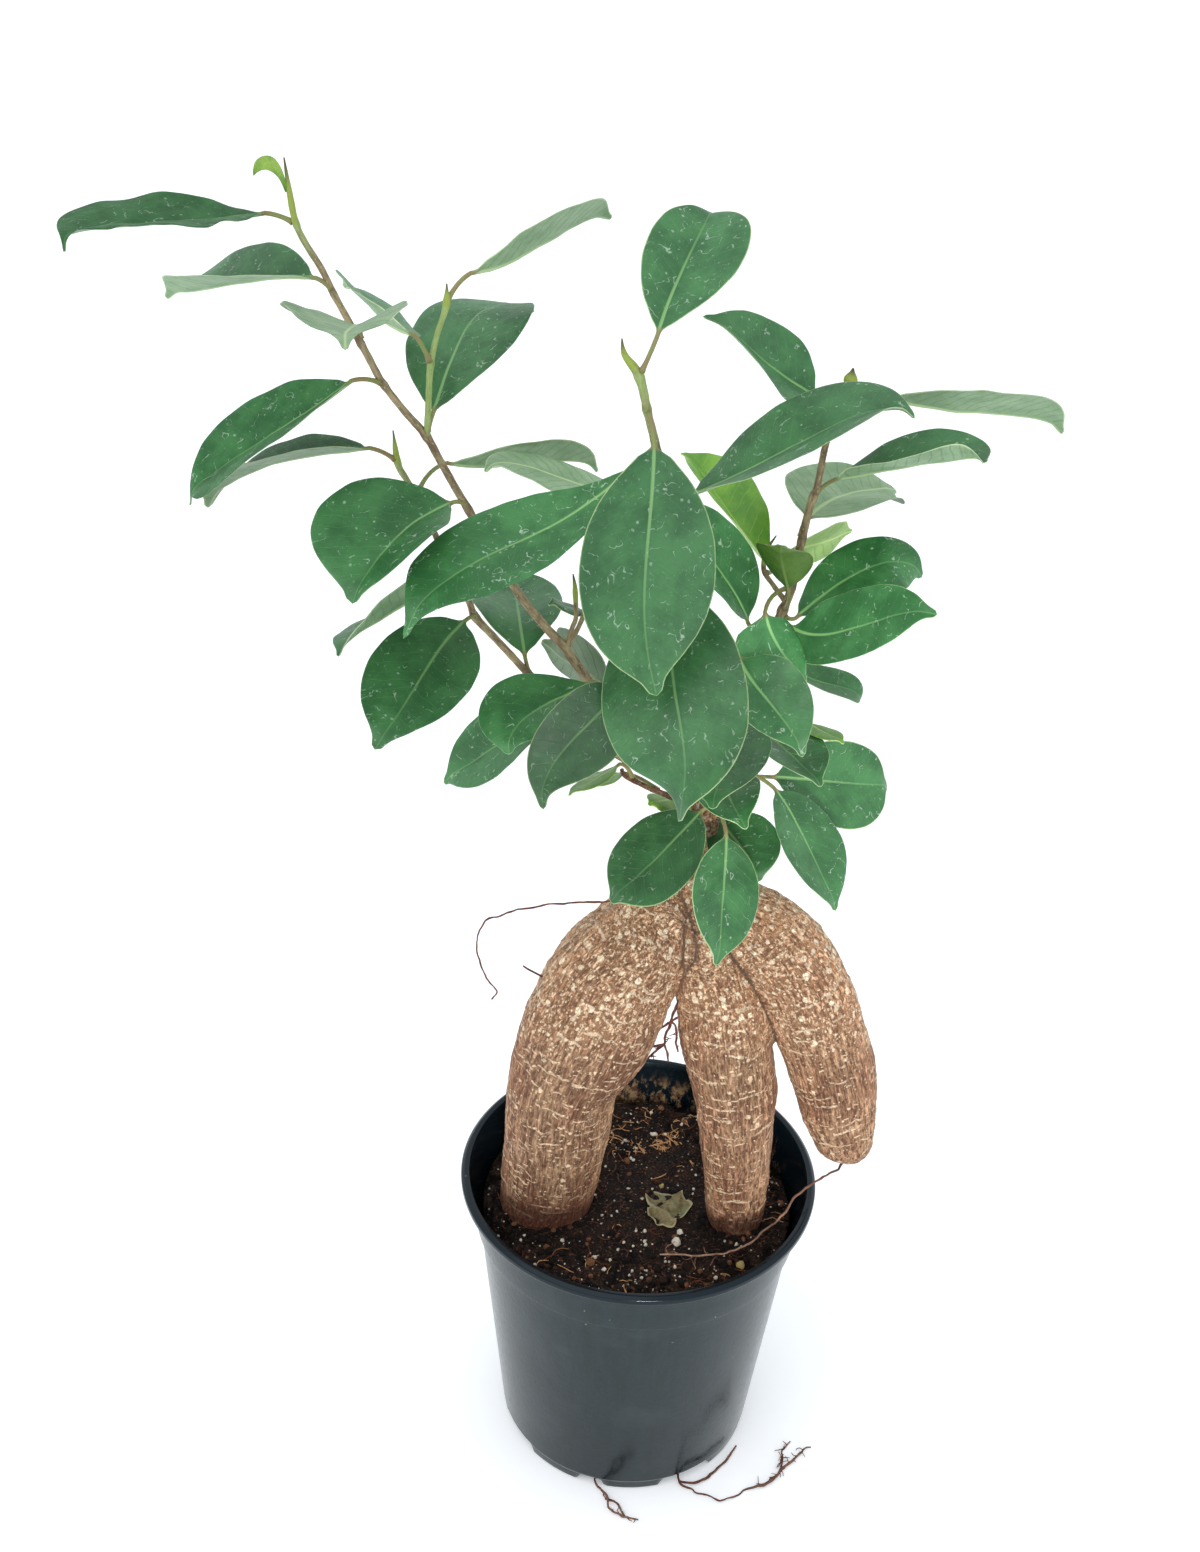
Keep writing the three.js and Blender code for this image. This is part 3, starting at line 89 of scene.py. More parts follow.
# Leaves: node, short name, young, frame rule, midrib Bezier points, frame vector, twist, left and right half
# width, fold angle, curl, width exponent, stalk start, stalk control point, place on the stem axis, stem radius.
LEAVES = [
    ['leaf_left_01', 'L1', 0, 1, [[-95.21, -9.0, 370.76], [-107.97, -21.96, 370.35], [-129.48, -30.42, 372.98], [-132.0, -39.46, 370.82]], [-0.4425, -0.309, 0.8418], -0.013, 13.41, 13.58, 0.278, -0.069, 1.037,
     [-89.78, -8.17, 369.26], [-92.69, -6.44, 370.84], [-88.39, -9.0, 368.51], 0.84],
    ['leaf_left_02', 'L2', 0, 1, [[-84.61, -9.0, 357.08], [-98.7, -2.47, 355.81], [-111.07, -0.12, 350.11], [-122.89, 10.25, 347.16]], [0.4885, -0.3774, 0.7868], -0.187, 12.06, 12.08, 0.246, -0.051, 1.05,
     [-81.48, -9.48, 355.46], [-82.33, -10.06, 357.28], [-80.72, -8.98, 353.85], 0.9],
    ['leaf_left_03', 'L3', 0, 0, [[-74.96, -10.96, 347.32], [-74.39, -26.24, 351.56], [-73.72, -41.21, 354.79], [-71.39, -55.86, 357.86]], [-0.9941, -0.0954, -0.0519], 0.08, 13.56, 14.94, 0.366, 0.05, 1.022,
     [-74.94, -9.1, 344.83], [-75.04, -8.73, 346.7], [-74.84, -9.48, 342.93], 0.99],
    ['leaf_left_04', 'L4', 0, 0, [[-62.9, -11.0, 346.07], [-71.58, -0.23, 344.07], [-76.38, 12.49, 347.96], [-82.53, 23.68, 347.23]], [0.6875, 0.4398, -0.5779], 0.091, 10.75, 10.41, 0.223, -0.034, 1.023,
     [-59.39, -10.86, 340.45], [-60.35, -14.17, 346.66], [-59.14, -10.0, 338.83], 0.9],
    ['leaf_left_05', 'L5', 0, 0, [[-59.05, -6.0, 326.2], [-54.2, 9.47, 339.22], [-52.89, 19.74, 348.42], [-37.91, 29.56, 341.56]], [0.8593, -0.4882, 0.1524], -0.006, 16.03, 16.19, 0.048, -0.017, 1.034,
     [-59.87, -8.42, 323.41], [-59.72, -8.14, 324.4], [-60.17, -9.0, 321.41], 1.15],
    ['leaf_left_06', 'L6', 0, 0, [[-50.4, -6.0, 358.94], [-38.21, 3.57, 358.83], [-29.38, 15.02, 367.48], [-20.3, 23.95, 366.19]], [0.4313, -0.667, 0.6075], -0.269, 11.75, 11.83, 0.283, -0.064, 1.02,
     [-55.2, -9.71, 354.11], [-54.03, -8.85, 358.97], [-55.6, -10.0, 352.43], 0.8],
    ['leaf_left_07', 'L7', 0, 0, [[-77.1, -11.0, 334.6], [-90.77, -10.41, 322.94], [-109.16, -7.51, 312.07], [-118.99, -6.83, 302.21]], [-0.106, 0.9724, 0.2079], 0.245, 14.77, 14.18, 0.278, 0.009, 1.052,
     [-71.17, -9.65, 334.43], [-74.17, -11.13, 337.09], [-69.81, -8.98, 333.21], 1.0],
    ['leaf_left_08', 'L8', 0, 1, [[-74.22, -5.0, 316.62], [-91.1, -0.18, 312.33], [-104.9, -2.97, 310.92], [-115.78, 3.57, 297.22]], [0.1128, -0.0301, 0.9932], -0.002, 13.31, 12.86, 0.178, -0.084, 1.065,
     [-68.57, -5.34, 314.69], [-70.7, -6.01, 317.52], [-67.47, -5.0, 313.24], 0.9],
    ['leaf_left_09', 'L9', 0, 0, [[-53.81, -10.23, 306.2], [-66.13, -17.26, 302.6], [-68.96, -29.81, 300.73], [-74.56, -39.29, 293.04]], [-0.8123, 0.5826, 0.025], -0.174, 15.37, 18.55, 0.357, 0.078, 0.999,
     [-51.47, -8.74, 305.56], [-51.92, -9.15, 306.76], [-50.77, -8.09, 303.69], 1.14],
    ['leaf_centre_01', 'L10', 0, 1, [[-13.03, -18.08, 319.52], [-31.32, -25.45, 299.89], [-50.85, -30.84, 305.93], [-62.91, -46.21, 288.74]], [-0.4628, -0.4348, 0.7725], 0.068, 13.92, 13.65, 0.153, -0.053, 1.16,
     [-8.82, -16.04, 321.97], [-10.64, -17.12, 322.09], [-6.93, -14.91, 321.85], 1.26],
    ['leaf_left_10', 'L11', 0, 0, [[-57.8, -4.0, 284.61], [-63.59, -16.04, 280.98], [-72.96, -26.07, 282.54], [-78.59, -37.87, 279.12]], [-0.5265, 0.4464, -0.7235], 0.277, 9.93, 10.17, 0.295, 0.001, 1.015,
     [-54.78, -2.41, 283.63], [-56.73, -1.78, 285.28], [-53.33, -2.88, 282.41], 1.0],
    ['leaf_left_11', 'L12', 0, 0, [[-51.26, -6.0, 273.8], [-60.0, -17.42, 269.03], [-61.44, -30.6, 263.86], [-69.27, -44.29, 258.64]], [-0.9165, 0.3715, 0.1486], -0.09, 13.28, 13.28, 0.188, -0.029, 0.932,
     [-49.67, -3.56, 273.94], [-49.9, -4.23, 274.54], [-49.12, -2.0, 272.57], 1.2],
    ['leaf_left_12', 'L13', 0, 0, [[-36.97, 2.0, 260.43], [-40.69, 15.73, 271.77], [-39.58, 28.94, 259.84], [-44.76, 41.02, 267.97]], [0.9847, 0.1704, -0.0372], 0.193, 12.51, 12.03, 0.188, 0.012, 1.009,
     [-36.09, 0.08, 257.9], [-36.45, 0.06, 258.82], [-35.31, 0.12, 255.94], 1.16],
    ['leaf_left_13', 'L14', 0, 0, [[-57.17, 8.0, 308.89], [-43.6, 13.13, 304.86], [-29.43, 21.24, 309.32], [-20.43, 24.33, 303.22]], [0.3197, -0.8014, 0.5055], -0.015, 9.14, 9.48, 0.399, -0.015, 1.05,
     [-63.15, -2.63, 305.42], [-63.48, 5.61, 310.76], [-63.09, -4.19, 304.42], 0.9],
    ['leaf_centre_02', 'L15', 0, 0, [[-12.09, -0.46, 306.63], [-26.04, -3.64, 306.47], [-40.26, 1.77, 315.71], [-47.53, -4.05, 312.6]], [-0.0373, 0.9987, -0.0358], -0.171, 12.3, 11.87, 0.115, -0.083, 1.006,
     [-4.84, -12.19, 311.55], [-5.27, 1.1, 306.71], [-4.77, -14.33, 312.32], 1.33],
    ['leaf_left_14', 'L16', 0, 0, [[-22.35, 9.0, 270.41], [-25.28, 6.44, 272.32], [-28.18, 3.93, 274.34], [-31.04, 1.48, 276.48]], [-0.5864, 0.7965, 0.1472], 0.019, 3.39, 3.37, 0.067, -0.009, 1.001,
     [-21.96, 4.83, 272.4], [-20.27, 10.82, 269.05], [-22.34, 3.49, 273.15], 0.63],
    ['leaf_left_15', 'L17', 0, 1, [[-16.13, 8.0, 248.98], [-21.31, 15.56, 252.89], [-28.47, 23.74, 247.37], [-33.08, 30.62, 251.52]], [0.0211, 0.9819, 0.1884], 0.072, 10.39, 10.26, 0.137, 0.021, 0.94,
     [-12.52, -1.51, 248.23], [-12.85, 3.23, 246.51], [-12.35, -4.0, 249.13], 1.7],
    ['leaf_left_16', 'L18', 0, 0, [[-19.71, -9.01, 259.85], [-29.87, -15.3, 255.81], [-39.45, -19.77, 255.91], [-39.41, -27.54, 249.04]], [-0.7, 0.7066, 0.1034], 0.127, 10.14, 12.32, 0.14, 0.083, 1.148,
     [-17.32, -5.61, 257.06], [-16.86, -7.25, 260.99], [-17.6, -4.62, 254.72], 1.61],
    ['leaf_left_17', 'L19', 0, 1, [[-12.41, -23.34, 267.03], [-17.14, -28.55, 258.55], [-31.39, -29.6, 251.35], [-30.41, -38.67, 240.39]], [-0.289, -0.9444, 0.1569], -0.171, 10.56, 8.9, 0.239, 0.005, 0.741,
     [-13.94, -5.79, 253.46], [-9.41, -20.03, 272.42], [-14.43, -4.25, 251.4], 1.66],
    ['leaf_left_18', 'L20', 0, 0, [[-25.96, -8.13, 252.33], [-37.74, -5.73, 244.19], [-46.41, -5.66, 235.03], [-57.68, -5.0, 227.1]], [-0.1701, 0.9302, 0.3252], 0.241, 11.15, 11.2, 0.196, -0.004, 1.044,
     [-25.72, -0.39, 247.51], [-21.43, -9.05, 255.47], [-26.47, 1.14, 246.11], 1.26],
    ['leaf_low_01', 'L21', 1, 0, [[-11.6, 2.0, 230.58], [-15.88, -1.33, 229.11], [-20.2, -4.81, 227.47], [-24.97, -7.41, 226.94]], [-0.4488, 0.8028, -0.3925], 0.09, 4.79, 4.73, -0.03, -0.026, 1.009,
     [-8.39, 3.54, 226.74], [-9.09, 3.95, 231.44], [-8.15, 3.4, 225.15], 0.66],
    ['leaf_low_02', 'L22', 1, 0, [[-10.34, 8.26, 224.32], [-14.18, 5.25, 224.96], [-17.16, 1.79, 224.48], [-20.2, -1.16, 225.32]], [-0.6861, 0.7135, -0.142], 0.278, 4.63, 4.76, 0.1, 0.004, 1.052,
     [-1.56, 4.43, 222.23], [-5.96, 11.69, 223.6], [-0.69, 3.01, 221.96], 0.74],
    ['leaf_low_03', 'L23', 1, 0, [[3.89, 8.0, 217.5], [1.51, 5.3, 218.35], [-0.9, 2.57, 219.24], [-3.23, 0.22, 220.52]], [-0.6843, 0.7053, 0.1849], 0.121, 4.42, 4.36, -0.107, -0.019, 1.013,
     [9.36, 5.38, 216.12], [7.35, 11.93, 216.26], [11.0, 0.06, 216.0], 4.62],
    ['leaf_centre_03', 'T1', 0, 0, [[-8.3, -15.0, 349.78], [-5.49, -2.8, 357.8], [1.4, 7.75, 368.39], [3.44, 18.24, 369.94]], [0.9631, -0.2393, -0.1236], 0.062, 10.46, 13.78, 0.342, -0.05, 1.113,
     [-11.24, -16.9, 342.31], [-9.26, -19.16, 347.05], [-12.03, -16.0, 340.4], 1.3],
    ['leaf_centre_04', 'F1', 0, 0, [[-7.98, -22.0, 327.13], [-7.18, -31.36, 306.53], [-11.41, -32.79, 292.08], [-4.51, -42.9, 274.42]], [-0.9964, -0.072, -0.0442], -0.081, 15.97, 15.53, 0.21, 0.016, 0.952,
     [-9.15, -17.4, 331.9], [-8.14, -20.22, 331.05], [-9.83, -15.5, 332.48], 1.15],
    ['leaf_centre_05', 'F2', 0, 1, [[-0.19, -15.16, 288.52], [-5.47, -35.73, 272.36], [7.77, -50.53, 264.33], [0.71, -55.57, 249.28]], [-0.3138, 0.1019, 0.944], -0.031, 16.75, 17.97, -0.007, -0.039, 0.74,
     [0.11, -13.25, 290.17], [0.27, -13.37, 289.92], [-1.09, -12.3, 292.06], 1.48],
    ['leaf_right_01', 'F4', 0, 0, [[32.32, 21.16, 325.23], [21.85, 17.77, 330.23], [15.01, 13.91, 338.93], [3.16, 11.25, 347.46]], [0.0871, 0.8602, 0.5024], -0.499, 11.84, 10.95, 0.391, -0.038, 0.866,
     [36.45, 12.64, 325.43], [37.14, 22.73, 322.92], [36.32, 10.79, 325.89], 0.96],
    ['leaf_centre_06', 'F5', 0, 1, [[1.27, -12.0, 311.3], [21.25, -13.27, 319.98], [40.4, -4.71, 336.33], [51.9, -8.75, 332.13]], [0.2792, 0.0134, 0.9601], -0.001, 15.39, 16.07, 0.339, -0.038, 0.951,
     [-2.5, -12.63, 309.32], [-1.66, -11.81, 310.02], [-3.92, -14.0, 308.13], 1.35],
    ['leaf_right_02', 'F6', 0, 0, [[48.23, 14.0, 328.61], [64.99, 14.82, 322.72], [83.71, 21.42, 326.18], [94.26, 24.7, 318.5]], [0.2753, -0.8581, 0.4335], -0.01, 11.42, 11.96, 0.382, -0.065, 0.991,
     [39.66, 12.47, 330.07], [43.23, 13.76, 330.38], [37.91, 11.84, 329.92], 0.91],
    ['leaf_right_03', 'F7', 0, 1, [[37.21, 8.0, 309.31], [47.52, -0.99, 315.78], [65.22, -5.42, 321.44], [67.43, -15.51, 324.8]], [0.3113, -0.3601, 0.8794], 0.011, 10.42, 10.2, 0.379, -0.021, 1.051,
     [33.26, 8.51, 306.07], [34.87, 10.04, 307.83], [32.07, 7.38, 304.77], 1.14],
    ['leaf_right_04', 'F8', 0, 1, [[31.17, 9.75, 297.66], [40.62, 20.5, 302.7], [45.33, 32.8, 295.68], [57.26, 39.65, 296.23]], [-0.4102, -0.5434, 0.7324], -0.069, 15.47, 14.43, 0.142, 0.046, 0.887,
     [29.72, 7.05, 295.32], [29.4, 7.74, 296.72], [30.14, 6.12, 293.42], 1.2],
    ['leaf_right_05', 'F9', 1, 0, [[24.06, 17.09, 281.81], [14.59, 24.42, 289.19], [8.33, 32.78, 297.41], [0.95, 39.22, 303.56]], [0.5869, 0.7893, -0.1804], 0.179, 11.61, 11.55, 0.442, 0.03, 1.061,
     [22.99, 9.93, 282.92], [27.0, 14.81, 279.52], [22.07, 8.8, 283.7], 0.71],
    ['leaf_right_06', 'F10', 0, 0, [[18.56, 2.91, 272.26], [13.46, 4.63, 285.2], [3.52, 5.42, 290.66], [-5.28, 8.85, 302.92]], [0.4156, 0.8946, 0.1643], -0.022, 12.16, 12.39, 0.287, 0.048, 0.955,
     [22.92, 3.05, 267.03], [20.2, 2.36, 268.12], [25.1, 3.61, 266.16], 1.46],
    ['leaf_right_07', 'F12', 1, 0, [[27.6, -1.0, 282.96], [25.96, -1.61, 288.79], [24.4, -2.87, 293.2], [24.21, -5.32, 296.02]], [0.8735, -0.4769, 0.0976], -0.26, 8.07, 7.14, -0.213, -0.12, 1.195,
     [27.81, 2.44, 277.05], [28.78, -0.56, 278.74], [27.2, 4.34, 275.98], 1.31],
    ['leaf_right_08', 'F13', 1, 0, [[27.85, 13.0, 287.59], [33.04, 18.74, 288.08], [40.83, 23.22, 286.27], [44.39, 29.49, 288.04]], [0.2895, -0.3993, 0.8699], 0.163, 7.27, 7.15, -0.055, -0.02, 1.0,
     [28.15, 7.25, 288.43], [25.31, 10.19, 287.34], [29.6, 5.75, 288.99], 1.21],
    ['leaf_right_09', 'F14', 0, 1, [[30.63, 5.0, 273.26], [40.61, 11.52, 281.02], [55.44, 17.16, 290.66], [63.62, 17.06, 280.73]], [-0.207, -0.4351, 0.8763], -0.091, 9.58, 10.89, 0.068, -0.032, 1.045,
     [28.22, 4.1, 273.4], [29.12, 4.02, 272.09], [26.92, 4.21, 275.27], 1.33],
    ['leaf_right_10', 'F15', 0, 0, [[29.17, 3.56, 271.65], [38.0, -7.18, 269.44], [49.49, -7.65, 283.11], [61.33, -15.56, 286.03]], [-0.2144, -0.7836, -0.583], 0.093, 10.64, 10.72, 0.18, -0.009, 0.903,
     [28.23, 4.81, 271.89], [28.81, 5.06, 271.73], [26.17, 3.91, 272.44], 1.37],
    ['leaf_right_11', 'F16', 0, 0, [[29.03, 6.0, 260.92], [36.14, 4.54, 252.68], [47.83, 7.01, 255.35], [50.2, 6.47, 249.68]], [-0.1451, -0.9854, -0.0891], -0.298, 6.45, 6.63, 0.238, -0.013, 1.126,
     [26.06, 5.24, 264.66], [26.78, 6.46, 263.54], [25.1, 3.61, 266.16], 1.46],
    ['leaf_right_12', 'F17', 1, 0, [[21.62, -6.98, 280.05], [23.08, -9.27, 274.69], [27.01, -12.45, 269.94], [32.9, -14.62, 265.68]], [-0.7823, -0.5263, -0.3332], -0.003, 7.23, 10.01, -0.193, -0.096, 0.836,
     [27.33, 3.63, 282.05], [19.93, -4.3, 286.29], [28.72, 5.12, 281.26], 1.24],
    ['leaf_right_13', 'F18', 0, 0, [[15.44, -13.53, 271.32], [19.1, -18.63, 264.22], [27.09, -19.53, 260.31], [32.34, -27.07, 251.68]], [-0.8244, -0.373, -0.4258], 0.301, 10.46, 8.44, 0.323, 0.034, 0.851,
     [4.09, -10.48, 274.55], [11.3, -12.6, 273.6], [1.69, -9.77, 274.87], 1.58],
    ['leaf_right_14', 'F20', 1, 0, [[36.06, 6.0, 243.34], [38.81, 2.15, 243.23], [41.72, -1.54, 243.45], [44.82, -4.81, 244.43]], [-0.774, -0.6276, 0.0832], -0.101, 3.84, 3.96, 0.105, -0.038, 1.01,
     [22.69, 4.28, 245.53], [31.99, 11.69, 243.49], [20.67, 2.66, 245.97], 1.68],
    ['leaf_right_15', 'F21', 0, 0, [[25.72, 5.35, 239.31], [30.01, -2.32, 240.63], [32.95, -11.0, 240.38], [38.52, -19.12, 239.8]], [-0.8857, -0.4641, 0.0092], -0.041, 9.06, 9.01, 0.268, 0.052, 0.94,
     [20.93, 4.34, 241.57], [23.87, 8.66, 238.74], [19.6, 2.4, 242.84], 1.73],
    ['leaf_right_16', 'F22', 0, 0, [[28.68, 6.0, 226.45], [40.35, 11.25, 223.37], [53.83, 15.06, 219.65], [62.73, 21.38, 216.79]], [0.0313, -0.5952, -0.803], -0.054, 11.4, 13.26, 0.248, -0.011, 1.059,
     [17.76, 2.08, 228.67], [22.48, 3.21, 228.09], [15.05, 1.44, 229.0], 1.85],
    ['leaf_right_17', 'F23', 0, 0, [[28.63, -2.0, 227.78], [36.01, -7.81, 220.43], [39.28, -16.99, 214.08], [46.08, -22.72, 204.71]], [-0.6721, -0.7263, 0.144], 0.004, 11.44, 11.35, 0.149, 0.009, 0.95,
     [18.58, 1.51, 231.55], [24.36, 1.36, 232.02], [15.8, 1.58, 231.33], 1.84],
    ['leaf_right_18', 'F24', 0, 0, [[20.86, -1.0, 247.5], [17.65, -10.89, 243.98], [13.49, -19.72, 241.3], [10.71, -29.94, 238.15]], [-0.8865, 0.3922, -0.2457], -0.108, 10.68, 10.56, 0.119, -0.015, 0.998,
     [21.67, 1.54, 248.59], [21.62, 1.36, 248.34], [22.08, 3.0, 250.64], 1.6],
    ['leaf_right_19', 'F25', 0, 0, [[14.86, -2.16, 231.05], [15.87, -9.85, 230.58], [16.23, -17.27, 231.1], [20.08, -25.53, 230.21]], [-0.9641, -0.2041, -0.1697], -0.058, 8.88, 9.61, 0.372, 0.027, 0.918,
     [14.94, 0.59, 231.69], [14.54, 0.3, 231.2], [16.55, 1.73, 233.64], 1.83],
    ['leaf_low_04', 'F26', 0, 0, [[10.35, -6.97, 223.13], [3.26, -11.28, 215.98], [-5.64, -17.21, 207.53], [-12.91, -20.8, 203.13]], [-0.5786, 0.807, 0.1184], 0.01, 13.15, 12.88, 0.056, -0.016, 1.005,
     [12.7, -5.5, 225.49], [12.76, -6.15, 225.55], [12.2, -0.2, 225.0], 4.4],
    ['leaf_low_05', 'F27', 0, 0, [[16.22, -14.0, 220.8], [16.48, -21.4, 209.54], [15.48, -25.37, 205.59], [15.65, -34.91, 194.04]], [-0.8273, -0.4323, 0.3588], 0.217, 11.15, 11.28, 0.148, -0.022, 0.992,
     [13.61, -4.54, 223.49], [16.08, -10.16, 226.65], [11.66, -0.09, 221.0], 4.51],
    ['leaf_low_06', 'F28', 0, 0, [[14.56, 4.0, 216.11], [17.91, -2.98, 212.96], [24.42, -9.05, 211.43], [25.39, -15.66, 208.0]], [-0.8794, -0.3596, -0.3119], 0.026, 10.1, 8.64, 0.117, 0.038, 1.089,
     [12.48, 4.27, 219.95], [12.86, 7.53, 217.7], [11.97, -0.15, 223.0], 4.45],
]
# What single leaves do on their own: waves, tip, twist, fold of each half, tone, and which face is up. The tone factor
# is partly each leaf's own colour and partly painted light: leaves lying in the shade inside the canopy are made
# brighter, and some others darker.
TRAITS = {
    'L1': {'wave': 1.6, 'wl': 9, 'tip': 3.2, 'rim': 0.1, 'sharp': 0.75, 'tone_and_light': 0.8, 'dull': 1},
    'L7': {'tip': 3.0, 'tone_and_light': 1.0, 'rim': 0.3, 'sharp': 0.5, 'dull': 1},
    'L8': {'near': 0.32, 'rim': 0.5, 'tone_and_light': 0.72, 'dull': 1},
    'L10': {'tip': 2.5, 'tone_and_light': 1.32, 'rim': 0.2, 'sharp': 0.4},
    'L12': {'tone_and_light': 1.05, 'rim': 0.3},
    'L15': {'flip': 1, 'tone_and_light': 1.3},
    'F8': {'flip': 1, 'tone_and_light': 1.1},
    'L19': {'tone_and_light': 0.6, 'rim': 1.0},
    'F26': {'tone_and_light': 0.72, 'rim': 1.0},
    'L2': {'near': 0.38, 'far': 0.18, 'tip': 2.0, 'tone_and_light': 1.05},
    'L3': {'flip': 1, 'wave': 1.5, 'wl': 9, 'sharp': 0.5, 'tip': 2.2, 'tone_and_light': 0.95},
    'F7': {'near': 0.3, 'far': 0.05, 'tone_and_light': 1.1},
    'F17': {'old': 1, 'tone_and_light': 1.9},
    'L21': {'tone_and_light': 0.95},
    'L22': {'tone_and_light': 0.95},
    'L23': {'tone_and_light': 0.95},
    'F9': {'tone_and_light': 1.4},
    'L4': {'tone_and_light': 1.25},
    'F2': {'tone_and_light': 0.85, 'rim': 1.0},
    'F22': {'tone_and_light': 1.05, 'rim': 1.0},
    'L5': {'tone_and_light': 0.95},
    'F15': {'tone_and_light': 1.75},
    'F27': {'tone_and_light': 0.95, 'rim': 1.0},
    'F1': {'tone_and_light': 0.95, 'rim': 1.0},
    'L9': {'tone_and_light': 1.15},
    'T1': {'rim': 1.0, 'tone_and_light': 1.1},
    'F5': {'rim': 1.0},
    'F22b': {'rim': 1.0},
    'L18': {'rim': 0.2, 'tone_and_light': 1.35},
    'F28': {'tone_and_light': 1.0},
    'F25': {'tone_and_light': 1.35},
    'F23': {'tone_and_light': 1.05},
    'F18': {'tone_and_light': 1.15},
    'F16': {'tone_and_light': 1.15},
    'F14': {'tone_and_light': 1.6},
    'F13': {'tone_and_light': 1.25},
    'F12': {'tone_and_light': 0.6},
    'F10': {'tone_and_light': 1.8},
    'F6': {'tone_and_light': 1.05},
    'F4': {'tone_and_light': 1.2},
    'L20': {'tone_and_light': 1.15},
    'L17': {'tone_and_light': 0.62, 'dull': 1},
    'L16': {'tone_and_light': 1.1},
    'L14': {'tone_and_light': 1.05},
    'L13': {'tone_and_light': 1.15},
    'L11': {'tone_and_light': 1.05},
    'L6': {'tone_and_light': 1.0},
}
# Perlite grains [x, y, size, tone] and the scrap of leaf [x, y] on the soil.
PERLITE_AT = [[-21.9, -10.9, 1.3, 0.5], [-8.7, -11.3, 0.5, 0.2], [-10.4, -12.3, 0.5, 0.3], [-9.7, -5.5, 0.5, 0.2], [-2.3, 2.3, 0.5, 0.2], [-3.6, 25.1, 0.9, 0.4], [5.3, 28.9, 1.2, 0.6], [3.4, -2.1, 0.8, 0.9], [7.4, 4.2, 1.0, 0.9], [-0.1, -14.5, 0.5, 0.2], [11.7, -18.8, 1.5, 0.5], [12.8, -14.5, 1.0, 0.5], [-7.5, -27.0, 0.6, 0.2], [-9.2, -29.9, 0.7, 0.3], [1.5, -34.7, 0.6, 0.4], [22.9, -31.0, 0.7, 0.5], [30.2, -25.9, 1.3, 0.95], [17.0, -26.7, 0.4, 0.2], [-3.7, -20.4, 0.5, 0.6], [4.6, -19.5, 0.4, 0.7]]
SCRAP_AT = [8.8, -5.1]
# Light.
WORLD, KEY, FILL = 1.1, 9, 78

SOIL_Z = 82.0
# its foot leans a little forward and draws in above the soil
for i_, dx_, dy_, k_ in ((-3, -0.6, -1.2, 0.98), (-2, -1.8, -3.0, 0.93), (-1, -2.6, -4.0, 0.84)):
    LEFT_ROOT[i_][0] += dx_
    LEFT_ROOT[i_][1] += dy_
    LEFT_ROOT[i_][3] *= k_
FLOOR_Z = 6.0
FOOT_H = 3.0


# ------------------------------------------------------------------ noise on arrays of points
def lattice(i, seed):
    h = i[:, 0] * 374761393 + i[:, 1] * 668265263 + i[:, 2] * 1442695041 + seed * 1266489917
    h = ((h ^ (h >> 15)) * 1246822519) & 0xFFFFFFFF
    h = ((h ^ (h >> 13)) * 1266489917) & 0xFFFFFFFF
    return ((h ^ (h >> 16)) & 0xFFFF) / 65535.0


def vnoise(p, seed=0):
    p = np.asarray(p, float)
    i = np.floor(p).astype(np.int64)
    f = p - i
    f = f * f * (3 - 2 * f)
    out = np.zeros(len(p))
    for dx in (0, 1):
        for dy in (0, 1):
            for dz in (0, 1):
                w = (f[:, 0] if dx else 1 - f[:, 0]) * (f[:, 1] if dy else 1 - f[:, 1]) * (f[:, 2] if dz else 1 - f[:, 2])
                out += w * lattice(i + np.array([dx, dy, dz]), seed)
    return out * 2 - 1


def fbm(p, octaves=4, seed=0, gain=0.5):
    out, amp, q = 0.0, 1.0, np.asarray(p, float)
    for k in range(octaves):
        out = out + amp * vnoise(q, seed + 17 * k)
        amp *= gain
        q = q * 2.03 + 11.7
    return out


def smooth01(x, a, b):
    t = np.clip((np.asarray(x, float) - a) / (b - a), 0, 1)
    return t * t * (3 - 2 * t)


def unit(v):
    v = np.asarray(v, float)
    return v / np.maximum(np.linalg.norm(v, axis=-1, keepdims=True), 1e-12)


# ------------------------------------------------------------------ mesh builders
def piece(name, co, faces, mats, index=None, attrs=None, slot=None, replaces=(), smooth=True):
    me = bpy.data.meshes.new(name)
    me.from_pydata((np.asarray(co) * 0.001).tolist(), [], faces)
    for m in mats:
        me.materials.append(m)
    if index is not None:
        me.polygons.foreach_set("material_index", np.asarray(index, np.int32))
    me.polygons.foreach_set("use_smooth", np.full(len(me.polygons), bool(smooth)))
    for key, val in (attrs or {}).items():
        val = np.asarray(val, np.float32)
        if val.ndim == 1:
            me.attributes.new(key, "FLOAT", "POINT").data.foreach_set("value", val)
        else:
            me.attributes.new(key, "FLOAT_VECTOR", "POINT").data.foreach_set("vector", val.ravel())
    me.update()
    ob = bpy.data.objects.new(name, me)
    scene.collection.objects.link(ob)
    if slot:
        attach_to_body(ob, "root")
    if replaces:
        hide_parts(*replaces)
    return ob


